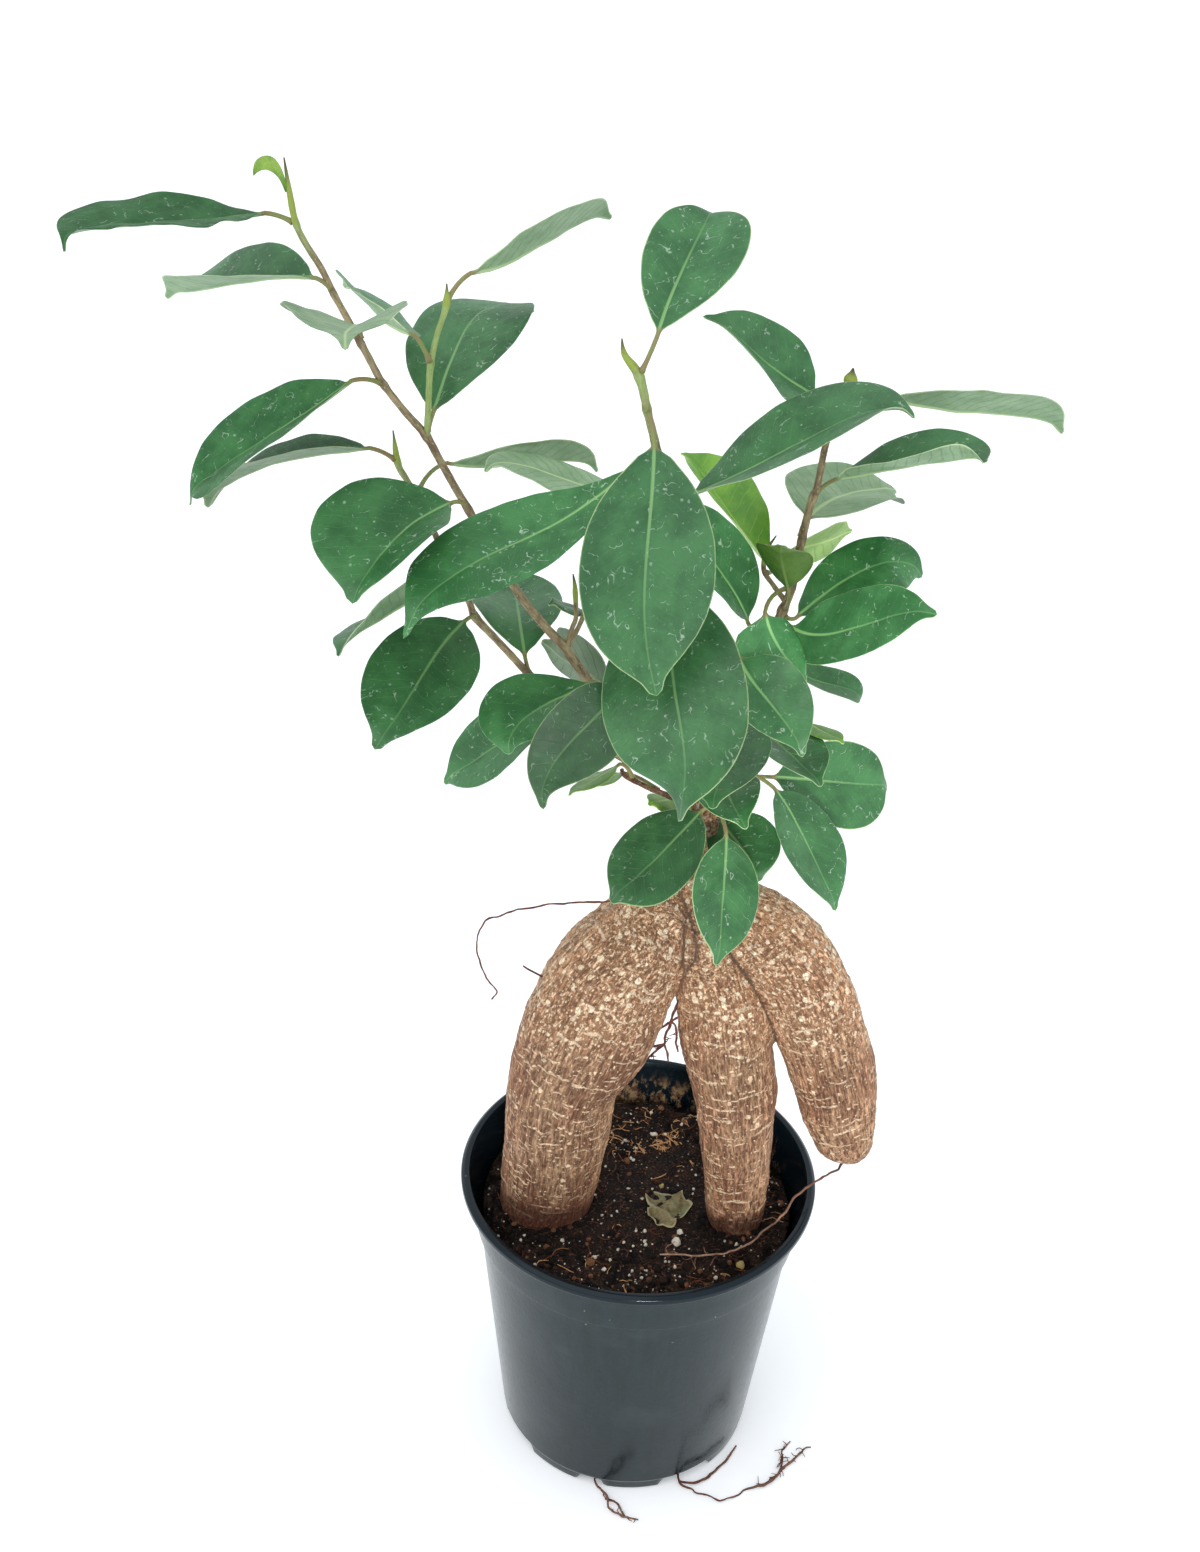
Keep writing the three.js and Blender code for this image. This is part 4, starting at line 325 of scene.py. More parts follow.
def loft(rings, pole_a, pole_b):
    """Closed skin over rings (m, k, 3) with a pole at each end, facing out."""
    m, k, _ = rings.shape
    co = np.vstack([rings.reshape(-1, 3), pole_a, pole_b])
    i, j = np.meshgrid(np.arange(m - 1), np.arange(k), indexing="ij")
    a, b = i * k + j, i * k + (j + 1) % k
    quads = np.stack([a, b, b + k, a + k], -1).reshape(-1, 4)
    n = np.arange(k)
    ta = np.stack([np.full(k, m * k), (n + 1) % k, n], -1)
    tb = np.stack([np.full(k, m * k + 1), (m - 1) * k + n, (m - 1) * k + (n + 1) % k], -1)
    v = co[quads]
    vol = np.einsum("ij,ij->i", v[:, 0], np.cross(v[:, 1], v[:, 2])).sum() + np.einsum("ij,ij->i", v[:, 0], np.cross(v[:, 2], v[:, 3])).sum()
    for t in (co[ta], co[tb]):
        vol += np.einsum("ij,ij->i", t[:, 0], np.cross(t[:, 1], t[:, 2])).sum()
    if vol < 0:
        quads, ta, tb = quads[:, ::-1], ta[:, ::-1], tb[:, ::-1]
    return co, quads.tolist() + ta.tolist() + tb.tolist()


def spline(st, sub):
    st = np.array(st, float)
    n, out = len(st), []
    t = (np.arange(sub) / sub)[:, None]
    for i in range(n - 1):
        a, b, c, d = st[max(i - 1, 0)], st[i], st[i + 1], st[min(i + 2, n - 1)]
        out.append(0.5 * (2 * b + (c - a) * t + (2 * a - 5 * b + 4 * c - d) * t ** 2 + (3 * b - a - 3 * c + d) * t ** 3))
    return np.vstack(out + [st[-1:]])


def tube(st, sides, sub, shape=None, ends=(1.0, 1.0), axis=None):
    """Round limb along stations [x, y, z, r]. shape(theta, arc, P) scales the radius. Gives points, faces, and for
    each point its place around and along the limb."""
    s = spline(st, sub)
    P, R = s[:, :3], np.maximum(s[:, 3], 0.08)
    T = unit(np.gradient(P, axis=0))
    arc = np.concatenate([[0], np.cumsum(np.linalg.norm(np.diff(P, axis=0), axis=1))])
    # rounded ends
    cap = np.radians([68, 42, 18])
    Pa = np.array([P[0] - T[0] * R[0] * ends[0] * math.sin(a) for a in cap])
    Pb = np.array([P[-1] + T[-1] * R[-1] * ends[1] * math.sin(a) for a in cap[::-1]])
    P2 = np.vstack([Pa, P, Pb])
    R2 = np.concatenate([R[0] * np.cos(cap), R, R[-1] * np.cos(cap[::-1])])
    T2 = np.vstack([np.repeat(T[:1], 3, 0), T, np.repeat(T[-1:], 3, 0)])
    arc2 = np.concatenate([[arc[0]] * 3, arc, [arc[-1]] * 3])
    side = np.array(axis if axis is not None else ([0, 1, 0] if abs(T[0][1]) < 0.9 else [1, 0, 0]), float)
    S = np.zeros_like(P2)
    for i in range(len(P2)):
        side = unit(side - T2[i] * side.dot(T2[i]))
        S[i] = side
    Up = np.cross(T2, S)
    th = np.arange(sides) * 2 * math.pi / sides
    q = np.broadcast_to(R2[:, None], (len(P2), sides)).copy()
    if shape is not None:
        TH, AR = np.meshgrid(th, arc2)
        q *= shape(TH, AR, P2)
    rings = P2[:, None] + S[:, None] * (np.cos(th)[None, :, None] * q[:, :, None]) + Up[:, None] * (np.sin(th)[None, :, None] * q[:, :, None])
    co, faces = loft(rings, P[0] - T[0] * R[0] * ends[0], P[-1] + T[-1] * R[-1] * ends[1])
    rr = float(np.mean(R))
    bark = np.stack([np.cos(th)[None] * q, np.sin(th)[None] * q, np.broadcast_to(arc2[:, None], q.shape)], -1).reshape(-1, 3)
    bark = np.vstack([bark, [0, 0, arc[0]], [0, 0, arc[-1]]])
    along = np.concatenate([np.repeat(arc2, sides), [arc[0], arc[-1]]])
    return co, faces, bark, along, arc[-1]


def merged(parts):
    """Several (points, faces, {attributes}) as one set."""
    co, faces, at, k = [], [], {}, 0
    for c, f, a in parts:
        co.append(c)
        faces += [[i + k for i in g] for g in f]
        for key, val in a.items():
            at.setdefault(key, []).append(np.asarray(val, float))
        k += len(c)
    return np.vstack(co), faces, {key: np.concatenate(v) for key, v in at.items()}


# ------------------------------------------------------------------ materials
def lin(r, g, b):
    f = lambda x: x / 255 / 12.92 if x <= 10.3 else ((x / 255 + 0.055) / 1.055) ** 2.4
    return (f(r), f(g), f(b), 1.0)


class Look:
    """A node material under construction."""

    def __init__(self, name):
        self.m = bpy.data.materials.new(name)
        self.m.use_nodes = True
        self.t = self.m.node_tree
        self.t.nodes.clear()
        self.out = self.t.nodes.new("ShaderNodeOutputMaterial")
        self.b = self.t.nodes.new("ShaderNodeBsdfPrincipled")
        self.t.links.new(self.b.outputs[0], self.out.inputs[0])

    def put(self, socket, v):
        if isinstance(v, bpy.types.NodeSocket):
            self.t.links.new(v, socket)
        elif v is not None:
            socket.default_value = v[:3] if socket.type == "VECTOR" and hasattr(v, "__len__") else v

    def node(self, kind, **kw):
        n = self.t.nodes.new("ShaderNode" + kind)
        for k, v in kw.items():
            setattr(n, k, v)
        return n

    def attr(self, name, vector=False):
        n = self.node("Attribute", attribute_name=name, attribute_type="GEOMETRY")
        return n.outputs["Vector" if vector else "Fac"]

    def obj(self):
        return self.node("TexCoord").outputs["Object"]

    def xyz(self, v):
        n = self.node("SeparateXYZ")
        self.put(n.inputs[0], v)
        return n.outputs[0], n.outputs[1], n.outputs[2]

    def vec(self, x, y, z):
        n = self.node("CombineXYZ")
        for s, v in zip(n.inputs, (x, y, z)):
            self.put(s, v)
        return n.outputs[0]

    def scaled(self, v, s, add=(0, 0, 0)):
        n = self.node("VectorMath", operation="MULTIPLY_ADD")
        self.put(n.inputs[0], v)
        self.put(n.inputs[1], s)
        self.put(n.inputs[2], add)
        return n.outputs[0]

    def op(self, kind, a, b=None, c=None, clamp=False):
        n = self.node("Math", operation=kind, use_clamp=clamp)
        for s, v in zip(n.inputs, (a, b, c)):
            self.put(s, v)
        return n.outputs[0]

    def band(self, v, a, b, lo=0.0, hi=1.0, smooth=True):
        n = self.node("MapRange", interpolation_type="SMOOTHSTEP" if smooth else "LINEAR")
        for s, x in zip(n.inputs, (v, a, b, lo, hi)):
            self.put(s, x)
        return n.outputs[0]

    def noise(self, v, scale, detail=3.0, rough=0.55, distort=0.0):
        n = self.node("TexNoise")
        self.put(n.inputs["Vector"], v)
        n.inputs["Scale"].default_value = scale
        n.inputs["Detail"].default_value = detail
        n.inputs["Roughness"].default_value = rough
        n.inputs["Distortion"].default_value = distort
        return n.outputs["Fac"]

    def noise_vec(self, v, scale, amount):
        """v moved about by noise, in its own units."""
        n = self.node("TexNoise")
        self.put(n.inputs["Vector"], v)
        n.inputs["Scale"].default_value = scale
        n.inputs["Detail"].default_value = 2.0
        m = self.node("VectorMath", operation="MULTIPLY_ADD")
        self.put(m.inputs[0], n.outputs["Color"])
        m.inputs[1].default_value = (2 * amount,) * 3
        self.put(m.inputs[2], v)
        return m.outputs[0]

    def cells(self, v, scale, random=1.0, feature="F1"):
        n = self.node("TexVoronoi", feature=feature)
        self.put(n.inputs["Vector"], v)
        n.inputs["Scale"].default_value = scale
        n.inputs["Randomness"].default_value = random
        return n.outputs["Distance"], (n.outputs["Color"] if "Color" in n.outputs else None)

    def cells1(self, w, scale):
        """Random places along a line: distance to the nearest one and its random number."""
        n = self.node("TexVoronoi", voronoi_dimensions="1D", feature="F1")
        self.put(n.inputs["W"], w)
        n.inputs["Scale"].default_value = scale
        n.inputs["Randomness"].default_value = 1.0
        return n.outputs["Distance"], self.xyz(n.outputs["Color"])[0]

    def mix_value(self, f, a, b):
        n = self.node("Mix", data_type="FLOAT")
        for s, v in zip(n.inputs[:1] + n.inputs[2:4], (f, a, b)):
            self.put(s, v)
        return n.outputs[0]

    def mix(self, f, a, b, blend="MIX"):
        n = self.node("Mix", data_type="RGBA", blend_type=blend)
        self.put(n.inputs[0], f)
        self.put(n.inputs[6], a)
        self.put(n.inputs[7], b)
        return n.outputs[2]

    def bright(self, col, f):
        n = self.node("VectorMath", operation="SCALE")
        self.put(n.inputs[0], col)
        self.put(n.inputs["Scale"], f)
        return n.outputs[0]

    def bump(self, h, dist, strength=1.0):
        n = self.node("Bump")
        self.put(n.inputs["Height"], h)
        n.inputs["Distance"].default_value = dist
        n.inputs["Strength"].default_value = strength
        return n.outputs[0]

    def done(self, color, rough, normal=None, spec=0.5, coat=0.0, coat_rough=0.2, sheen=0.0, ior=1.5):
        i = self.b.inputs
        self.put(i["Base Color"], color)
        self.put(i["Roughness"], rough)
        if normal is not None:
            self.put(i["Normal"], normal)
        i["Specular IOR Level"].default_value = spec
        i["IOR"].default_value = ior
        i["Coat Weight"].default_value = coat
        i["Coat Roughness"].default_value = coat_rough
        i["Sheen Weight"].default_value = sheen
        return self.m


def leaf_top(name, deep, fresh, rib, rim, speck, rough=0.46, veined=0.07, spec=0.5):
    L = Look(name)
    lc, le, tone_and_light, stalk, lt = L.attr("lc", True), L.attr("le"), L.attr("tone_and_light"), L.attr("stalk"), L.attr("lt")
    along, across, seed = L.xyz(lc)
    side = L.op("ABSOLUTE", across)
    base = L.mix(L.band(L.noise(lc, 0.11, 3, 0.6), 0.32, 0.68), deep, fresh)
    fine = L.noise(lc, 1.9, 4, 0.65)
    base = L.bright(base, L.band(fine, 0.25, 0.75, 0.9, 1.12, False))
    # lateral veins, closely set and running forward to the margin
    u = L.op("SUBTRACT", along, L.op("MULTIPLY", side, 0.62))
    u = L.op("ADD", u, L.op("MULTIPLY", L.noise(lc, 0.22, 2), 2.4))
    ridge = L.op("ABSOLUTE", L.op("SUBTRACT", L.op("FRACT", L.op("DIVIDE", u, 3.1)), 0.5))
    vein = L.op("MULTIPLY", L.band(ridge, 0.0, 0.07, 1, 0), L.band(side, 0.6, 1.6))
    vein = L.op("MULTIPLY", vein, L.band(le, 0.4, 2.5))
    base = L.mix(L.op("MULTIPLY", vein, veined), base, rib)
    # pale flecks of hard-water scale, single and in wandering trails
    d, c = L.cells(L.noise_vec(lc, 1.3, 0.35), 0.55)
    pick = L.xyz(c)[0]
    size = L.band(pick, 0.35, 1.0, 0.02, 0.21, False)
    dot = L.op("MULTIPLY", L.band(L.op("SUBTRACT", d, size), -0.05, 0.05, 1, 0), L.band(L.noise(lc, 0.12, 2), 0.40, 0.60, 0.2, 1.0))
    d2, c2 = L.cells(L.noise_vec(lc, 2.1, 0.2), 1.25)
    dot2 = L.op("MULTIPLY", L.band(d2, 0.05, 0.2, 1, 0), L.band(L.xyz(c2)[1], 0.66, 0.72))
    trail = L.op("ABSOLUTE", L.op("SUBTRACT", L.noise(L.noise_vec(lc, 0.35, 1.2), 0.2, 1.5), 0.5))
    trail = L.op("MULTIPLY", L.band(trail, 0.003, 0.012, 1, 0), L.band(L.noise(lc, 0.34, 2), 0.52, 0.60))
    trail = L.op("MULTIPLY", trail, L.band(L.noise(lc, 1.6, 2), 0.32, 0.46))
    fleck = L.op("MAXIMUM", L.op("MAXIMUM", L.op("MULTIPLY", dot, 0.62), L.op("MULTIPLY", dot2, 0.4)), L.op("MULTIPLY", trail, 0.7), clamp=True)
    fleck = L.op("MULTIPLY", fleck, speck)
    base = L.mix(L.op("MULTIPLY", fleck, 0.62), base, lin(196, 214, 196))
    # midrib, bright at the base, and the thin pale margin
    wide = L.band(lt, 0.0, 1.0, 0.50, 0.2, False)
    mid = L.band(L.op("DIVIDE", side, wide), 0.45, 1.25, 1, 0)
    base = L.mix(L.op("MULTIPLY", mid, L.band(lt, 0.05, 0.9, 0.85, 0.22)), base, rib)
    edge = L.band(L.op("ADD", le, L.op("MULTIPLY", L.op("SUBTRACT", L.noise(lc, 0.8, 2), 0.5), 0.2)), 0.10, 0.33, 1, 0)
    base = L.mix(L.op("MULTIPLY", edge, 0.68), base, rim)
    # the leaf's brightness factor: partly its own tone, partly painted light for how the leaf is lit
    base = L.mix(stalk, L.bright(base, tone_and_light), L.mix(L.band(L.noise(lc, 0.35, 2), 0.35, 0.65), lin(122, 134, 72), lin(136, 118, 80)))
    h = L.op("ADD", L.op("MULTIPLY", L.noise(lc, 0.9, 3), 0.5), L.op("MULTIPLY", vein, -0.35))
    h = L.op("ADD", h, L.op("MULTIPLY", fleck, 0.35))
    r = L.op("ADD", L.band(L.noise(lc, 0.6, 3), 0.3, 0.7, rough - 0.05, rough + 0.09, False), L.op("MULTIPLY", fleck, 0.25))
    return L.done(base, r, L.bump(h, 0.00016, 0.8), spec=spec)


def leaf_under(name, deep, fresh, rib, rim):
    L = Look(name)
    lc, le, tone_and_light, stalk, lt = L.attr("lc", True), L.attr("le"), L.attr("tone_and_light"), L.attr("stalk"), L.attr("lt")
    along, across, seed = L.xyz(lc)
    side = L.op("ABSOLUTE", across)
    base = L.mix(L.band(L.noise(lc, 0.14, 3, 0.6), 0.3, 0.7), deep, fresh)
    u = L.op("SUBTRACT", along, L.op("MULTIPLY", side, 0.62))
    u = L.op("ADD", u, L.op("MULTIPLY", L.noise(lc, 0.22, 2), 2.4))
    ridge = L.op("ABSOLUTE", L.op("SUBTRACT", L.op("FRACT", L.op("DIVIDE", u, 3.1)), 0.5))
    vein = L.op("MULTIPLY", L.band(ridge, 0.0, 0.11, 1, 0), L.band(side, 0.5, 1.3))
    base = L.mix(L.op("MULTIPLY", vein, 0.5), base, L.bright(deep, 0.78))
    net = L.cells(L.noise_vec(lc, 1.0, 0.3), 1.3, feature="DISTANCE_TO_EDGE")[0]
    base = L.mix(L.band(net, 0.0, 0.1, 0.22, 0.0), base, L.bright(deep, 0.8))
    base = L.bright(base, L.band(L.noise(lc, 2.5, 3), 0.25, 0.75, 0.92, 1.08, False))
    wide = L.band(lt, 0.0, 1.0, 0.75, 0.3, False)
    base = L.mix(L.band(L.op("DIVIDE", side, wide), 0.5, 1.2, 0.85, 0), base, rib)
    base = L.mix(L.band(le, 0.15, 0.5, 0.8, 0), base, rim)
    # the leaf's brightness factor: partly its own tone, partly painted light for how the leaf is lit
    base = L.mix(stalk, L.bright(base, tone_and_light), L.mix(L.band(L.noise(lc, 0.35, 2), 0.35, 0.65), lin(122, 134, 72), lin(136, 118, 80)))
    h = L.op("ADD", L.op("MULTIPLY", vein, 0.8), L.op("MULTIPLY", L.noise(lc, 1.4, 3), 0.4))
    return L.done(base, L.band(L.noise(lc, 0.8, 2), 0.3, 0.7, 0.5, 0.62, False), L.bump(h, 0.00018, 0.8), spec=0.45)


GREEN = leaf_top("leaf_green_top", lin(36, 88, 44), lin(57, 113, 62), lin(128, 172, 108), lin(186, 208, 150), 1.0)
GREEN_DULL = leaf_top("leaf_green_dull", lin(36, 88, 44), lin(57, 113, 62), lin(128, 172, 108), lin(186, 208, 150), 1.0, 0.55, 0.07, 0.2)
GREEN_UNDER = leaf_under("leaf_green_under", lin(112, 144, 104), lin(138, 166, 128), lin(170, 194, 140), lin(196, 212, 168))
YOUNG = leaf_top("leaf_young_top", lin(80, 130, 40), lin(112, 158, 52), lin(168, 200, 108), lin(196, 214, 140), 0.25, 0.42, 0.2)
YOUNG_UNDER = leaf_under("leaf_young_under", lin(126, 164, 84), lin(146, 180, 98), lin(176, 204, 126), lin(196, 214, 150))


def root_bark():
    L = Look("root_bark")
    rc, crown = L.attr("rc", True), L.attr("crown")
    x, y, s = L.xyz(rc)
    lower = L.op("SUBTRACT", 1.0, crown, clamp=True)
    base = L.mix(L.band(L.noise(L.scaled(rc, (1, 1, 0.5)), 0.09, 3, 0.6), 0.35, 0.66), lin(156, 108, 78), lin(188, 146, 110))
    # the crown is paler than the lower root and palest towards the right: partly the bark's own colour, partly painted
    # light that lifts it out of the shade of the leaves. Beyond x = -14 mm the root is darker all along.
    right = L.band(x, -8.0, 26.0)
    base = L.mix(L.band(crown, 0, 1, 0, 0.85), base, L.mix(right, lin(190, 142, 104), lin(228, 182, 140)))
    base = L.bright(base, L.mix_value(L.band(x, -14.0, -5.0), L.band(crown, 0, 1, 0.58, 0.69), L.band(crown, 0, 1, 0.96, 1.08)))
    # fibrous striations along the root, and fine grain, with painted highlights on the raised fibres and painted shade
    # in the hollows between them
    fib = L.band(L.noise(L.scaled(rc, (0.85, 0.85, 0.11)), 1.0, 4, 0.72, 0.3), 0.42, 0.58, -0.5, 0.5)
    fine = L.band(L.noise(L.scaled(rc, (1.6, 1.6, 0.36)), 1.0, 3, 0.62), 0.41, 0.59, -0.5, 0.5)
    grain = L.band(L.noise(rc, 0.95, 4, 0.68, 0.4), 0.42, 0.58, -0.5, 0.5)
    fibre = L.op("ADD", L.op("MULTIPLY", fib, L.band(lower, 0, 1, 0.32, 0.62)), L.op("MULTIPLY", fine, L.band(crown, 0, 1, 0.55, 0.35)))
    fibre = L.op("ADD", fibre, L.op("MULTIPLY", grain, L.band(crown, 0, 1, 0.35, 0.70)))
    base = L.bright(base, L.op("ADD", 1.02, L.op("MULTIPLY", fibre, L.band(crown, 0, 1, 0.86, 0.66))))
    base = L.mix(L.op("MULTIPLY", L.band(fibre, 0.12, 0.55), L.band(crown, 0, 1, 0.12, 0.50)), base, lin(255, 228, 192))
    base = L.mix(L.band(fibre, -0.20, -0.60, 0, L.band(crown, 0, 1, 0.8, 0.65)), base, lin(96, 56, 38))
    # corky warts, thick on the crown and sparse lower down
    d, c = L.cells(L.noise_vec(L.noise_vec(rc, 0.8, 0.5), 2.2, 0.3), 0.44)
    cx, cy, cz = L.xyz(c)
    size = L.op("SUBTRACT", L.band(cx, 0.0, 1, 0.14, 0.50, False), L.band(crown, 0, 1, 0.10, 0.0))
    wart = L.op("MULTIPLY", L.band(L.op("SUBTRACT", d, size), -0.06, 0.03, 1, 0), L.band(L.op("SUBTRACT", cy, L.band(crown, 0, 1, 0.62, 0.30)), 0.0, 0.04))
    wart = L.op("MULTIPLY", wart, L.band(L.noise(rc, 1.1, 3), 0.36, 0.48, 0.45, 1.0))
    d3, c3 = L.cells(L.noise_vec(rc, 1.4, 0.3), 0.95)
    wart3 = L.op("MULTIPLY", L.band(d3, 0.20, 0.36, 1, 0), L.band(L.op("SUBTRACT", L.xyz(c3)[1], L.band(crown, 0, 1, 0.74, 0.42)), 0.0, 0.04))
    # pale rings and dashes across the root
    t = L.op("ADD", s, L.op("MULTIPLY", L.noise(rc, 0.085, 2), 7.0))
    t = L.op("ADD", t, L.op("MULTIPLY", L.noise(rc, 0.55, 2), 1.1))
    d1, r1 = L.cells1(t, 0.34)
    m1 = L.noise(L.vec(L.op("MULTIPLY", x, 0.085), L.op("MULTIPLY", y, 0.085), L.op("MULTIPLY", r1, 77.0)), 1.0, 2)
    ring = L.op("MULTIPLY", L.band(d1, 0.085, 0.14, 1, 0), L.band(m1, 0.53, 0.565))
    ring = L.op("MULTIPLY", ring, L.band(L.noise(rc, 0.8, 3), 0.36, 0.50))
    d2, r2 = L.cells1(L.op("ADD", t, 40.0), 0.80)
    m2 = L.noise(L.vec(L.op("MULTIPLY", x, 0.27), L.op("MULTIPLY", y, 0.27), L.op("MULTIPLY", r2, 91.0)), 1.0, 2)
    dash = L.op("MULTIPLY", L.band(d2, 0.14, 0.25, 1, 0), L.band(L.op("SUBTRACT", m2, L.band(crown, 0, 1, 0.0, 0.05)), 0.60, 0.64))
    pale = L.op("MAXIMUM", L.op("MAXIMUM", wart, L.op("MULTIPLY", wart3, 0.85)), L.op("MAXIMUM", L.op("MULTIPLY", dash, 0.85), L.op("MULTIPLY", ring, L.band(crown, 0, 1, 0.78, 0.6))), clamp=True)
    base = L.mix(L.op("MULTIPLY", pale, 0.95), base, L.mix(crown, lin(252, 220, 182), lin(255, 234, 202)))
    # the foot of each root, near the soil, is redder and darker
    base = L.mix(L.op("MULTIPLY", L.attr("foot"), 0.72), base, lin(118, 60, 40))
    # painted shade: dark brown in the creases where the roots meet and on the trunk under the leaves
    base = L.mix(L.op("MULTIPLY", L.attr("crease_shade"), 0.5), base, lin(70, 42, 32))
    h = L.op("ADD", L.op("MULTIPLY", fibre, 0.55), L.op("MULTIPLY", pale, L.band(crown, 0, 1, 0.75, 0.35)))
    return L.done(base, L.band(grain, -0.5, 0.5, 0.62, 0.85, False), L.bump(h, 0.0013, 1.0), spec=0.35)


def shoot_bark():
    L = Look("shoot_bark")
    sc, age, bud, scar = L.attr("sc", True), L.attr("age"), L.attr("bud"), L.attr("scar")
    old = L.mix(L.band(L.noise(L.scaled(sc, (1, 1, 0.3)), 0.9, 4, 0.6), 0.35, 0.65), lin(112, 93, 68), lin(160, 144, 108))
    green = L.mix(L.noise(sc, 0.35, 3), lin(134, 158, 90), lin(156, 174, 108))
    base = L.mix(L.band(L.op("ADD", age, L.op("MULTIPLY", L.op("SUBTRACT", L.noise(sc, 0.25, 3), 0.5), 0.5)), 0.25, 0.85), old, green)
    fib = L.noise(L.scaled(sc, (2.6, 2.6, 0.4)), 1.0, 3, 0.6)
    base = L.bright(base, L.band(fib, 0.25, 0.75, 0.78, 1.22, False))
    d, c = L.cells(L.scaled(sc, (1.5, 1.5, 0.8)), 1.0)
    dot = L.op("MULTIPLY", L.band(d, 0.16, 0.3, 1, 0), L.band(L.xyz(c)[0], 0.55, 0.6))
    base = L.mix(L.op("MULTIPLY", dot, 0.6), base, lin(196, 182, 150))
    base = L.mix(L.op("MULTIPLY", scar, 0.7), base, lin(86, 66, 50))
    tip = L.mix(L.band(bud, 0.55, 1.0), lin(144, 160, 70), lin(78, 72, 40))
    base = L.mix(L.band(bud, 0.02, 0.2), base, tip)
    h = L.op("ADD", fib, L.op("MULTIPLY", dot, 0.8))
    return L.done(base, 0.6, L.bump(h, 0.0002, 0.8), spec=0.4)


def bud_green():
    L = Look("bud_green")
    p = L.scaled(L.obj(), (1000, 1000, 1000))
    base = L.mix(L.band(L.noise(p, 0.25, 3), 0.35, 0.65), lin(92, 142, 40), lin(140, 174, 70))
    base = L.bright(base, L.band(L.noise(p, 2.2, 3), 0.25, 0.75, 0.85, 1.12, False))
    return L.done(base, 0.42, L.bump(L.noise(p, 1.5, 3), 0.00015, 0.6), spec=0.5)


def hair_root():
    L = Look("hair_root")
    sc, pale = L.attr("sc", True), L.attr("pale")
    base = L.mix(L.band(L.noise(L.scaled(sc, (1, 1, 0.4)), 0.7, 3), 0.35, 0.65), lin(54, 30, 25), lin(108, 62, 46))
    base = L.mix(L.op("MULTIPLY", pale, L.band(L.noise(L.scaled(sc, (1, 1, 0.5)), 0.4, 3), 0.35, 0.6, 0.3, 1)), base, lin(190, 156, 130))
    base = L.bright(base, L.band(L.noise(sc, 2.5, 3), 0.25, 0.75, 0.7, 1.3, False))
    return L.done(base, 0.8, L.bump(L.noise(sc, 2.0, 4), 0.0003, 0.9), spec=0.3)


def pot_plastic(name, spec):
    L = Look(name)
    p = L.scaled(L.obj(), (1000, 1000, 1000))
    x, y, z = L.xyz(p)
    wall = L.attr("wall")
    streak = L.noise(L.scaled(p, (0.35, 0.35, 0.012)), 1.0, 4, 0.6)
    fine = L.noise(L.scaled(p, (1.6, 1.6, 0.03)), 1.0, 3, 0.6)
    dust = L.noise(p, 0.045, 4, 0.62)
    base = L.mix(L.band(streak, 0.34, 0.68), lin(6, 19, 21), lin(11, 26, 29))
    base = L.mix(L.band(fine, 0.45, 0.75, 0, 0.35), base, lin(26, 38, 45))
    base = L.mix(L.op("MULTIPLY", L.band(dust, 0.5, 0.74), 0.12), base, lin(84, 92, 96))
    base = L.mix(L.op("SUBTRACT", 1.0, wall), base, lin(7, 19, 26))
    # lime stains on the inside, at the back on the right
    stain = L.op("MULTIPLY", L.band(L.noise(L.scaled(p, (1, 1, 0.6)), 0.28, 4, 0.7), 0.48, 0.58), L.attr("stain"))
    base = L.mix(L.op("MULTIPLY", stain, 0.7), base, L.mix(L.band(L.noise(p, 0.6, 3), 0.4, 0.6), lin(92, 62, 42), lin(150, 126, 94)))
    # painted highlight along the rounded step of the collar, and a paler line round the foot
    line = L.band(L.op("ABSOLUTE", L.op("SUBTRACT", z, 77.3)), 0.16, 0.38, 1, 0)
    line = L.op("MAXIMUM", line, L.band(L.op("ABSOLUTE", L.op("SUBTRACT", z, 3.7)), 0.12, 0.32, 0.7, 0))
    line = L.op("MULTIPLY", L.op("MULTIPLY", line, wall), L.band(L.noise(p, 0.12, 3), 0.35, 0.6, 0.45, 1.0))
    base = L.mix(L.op("MULTIPLY", line, 0.7), base, lin(128, 138, 142))
    d, c = L.cells(L.noise_vec(p, 0.6, 0.6), 0.16)
    speck = L.op("MULTIPLY", L.band(d, 0.03, 0.07, 1, 0), L.band(L.xyz(c)[0], 0.6, 0.65))
    base = L.mix(L.op("MULTIPLY", speck, 0.35), base, lin(150, 150, 146))
    r = L.op("ADD", L.band(wall, 0, 1, 0.16, 0.18), L.band(L.noise(p, 0.5, 4), 0.3, 0.7, -0.03, 0.06, False))
    h = L.op("ADD", L.op("MULTIPLY", fine, 0.5), L.noise(p, 0.7, 4))
    L.b.inputs["Specular Tint"].default_value = (0.90, 0.99, 1.0, 1)
    return L.done(base, r, L.bump(h, 0.00012, 0.35), spec=spec)


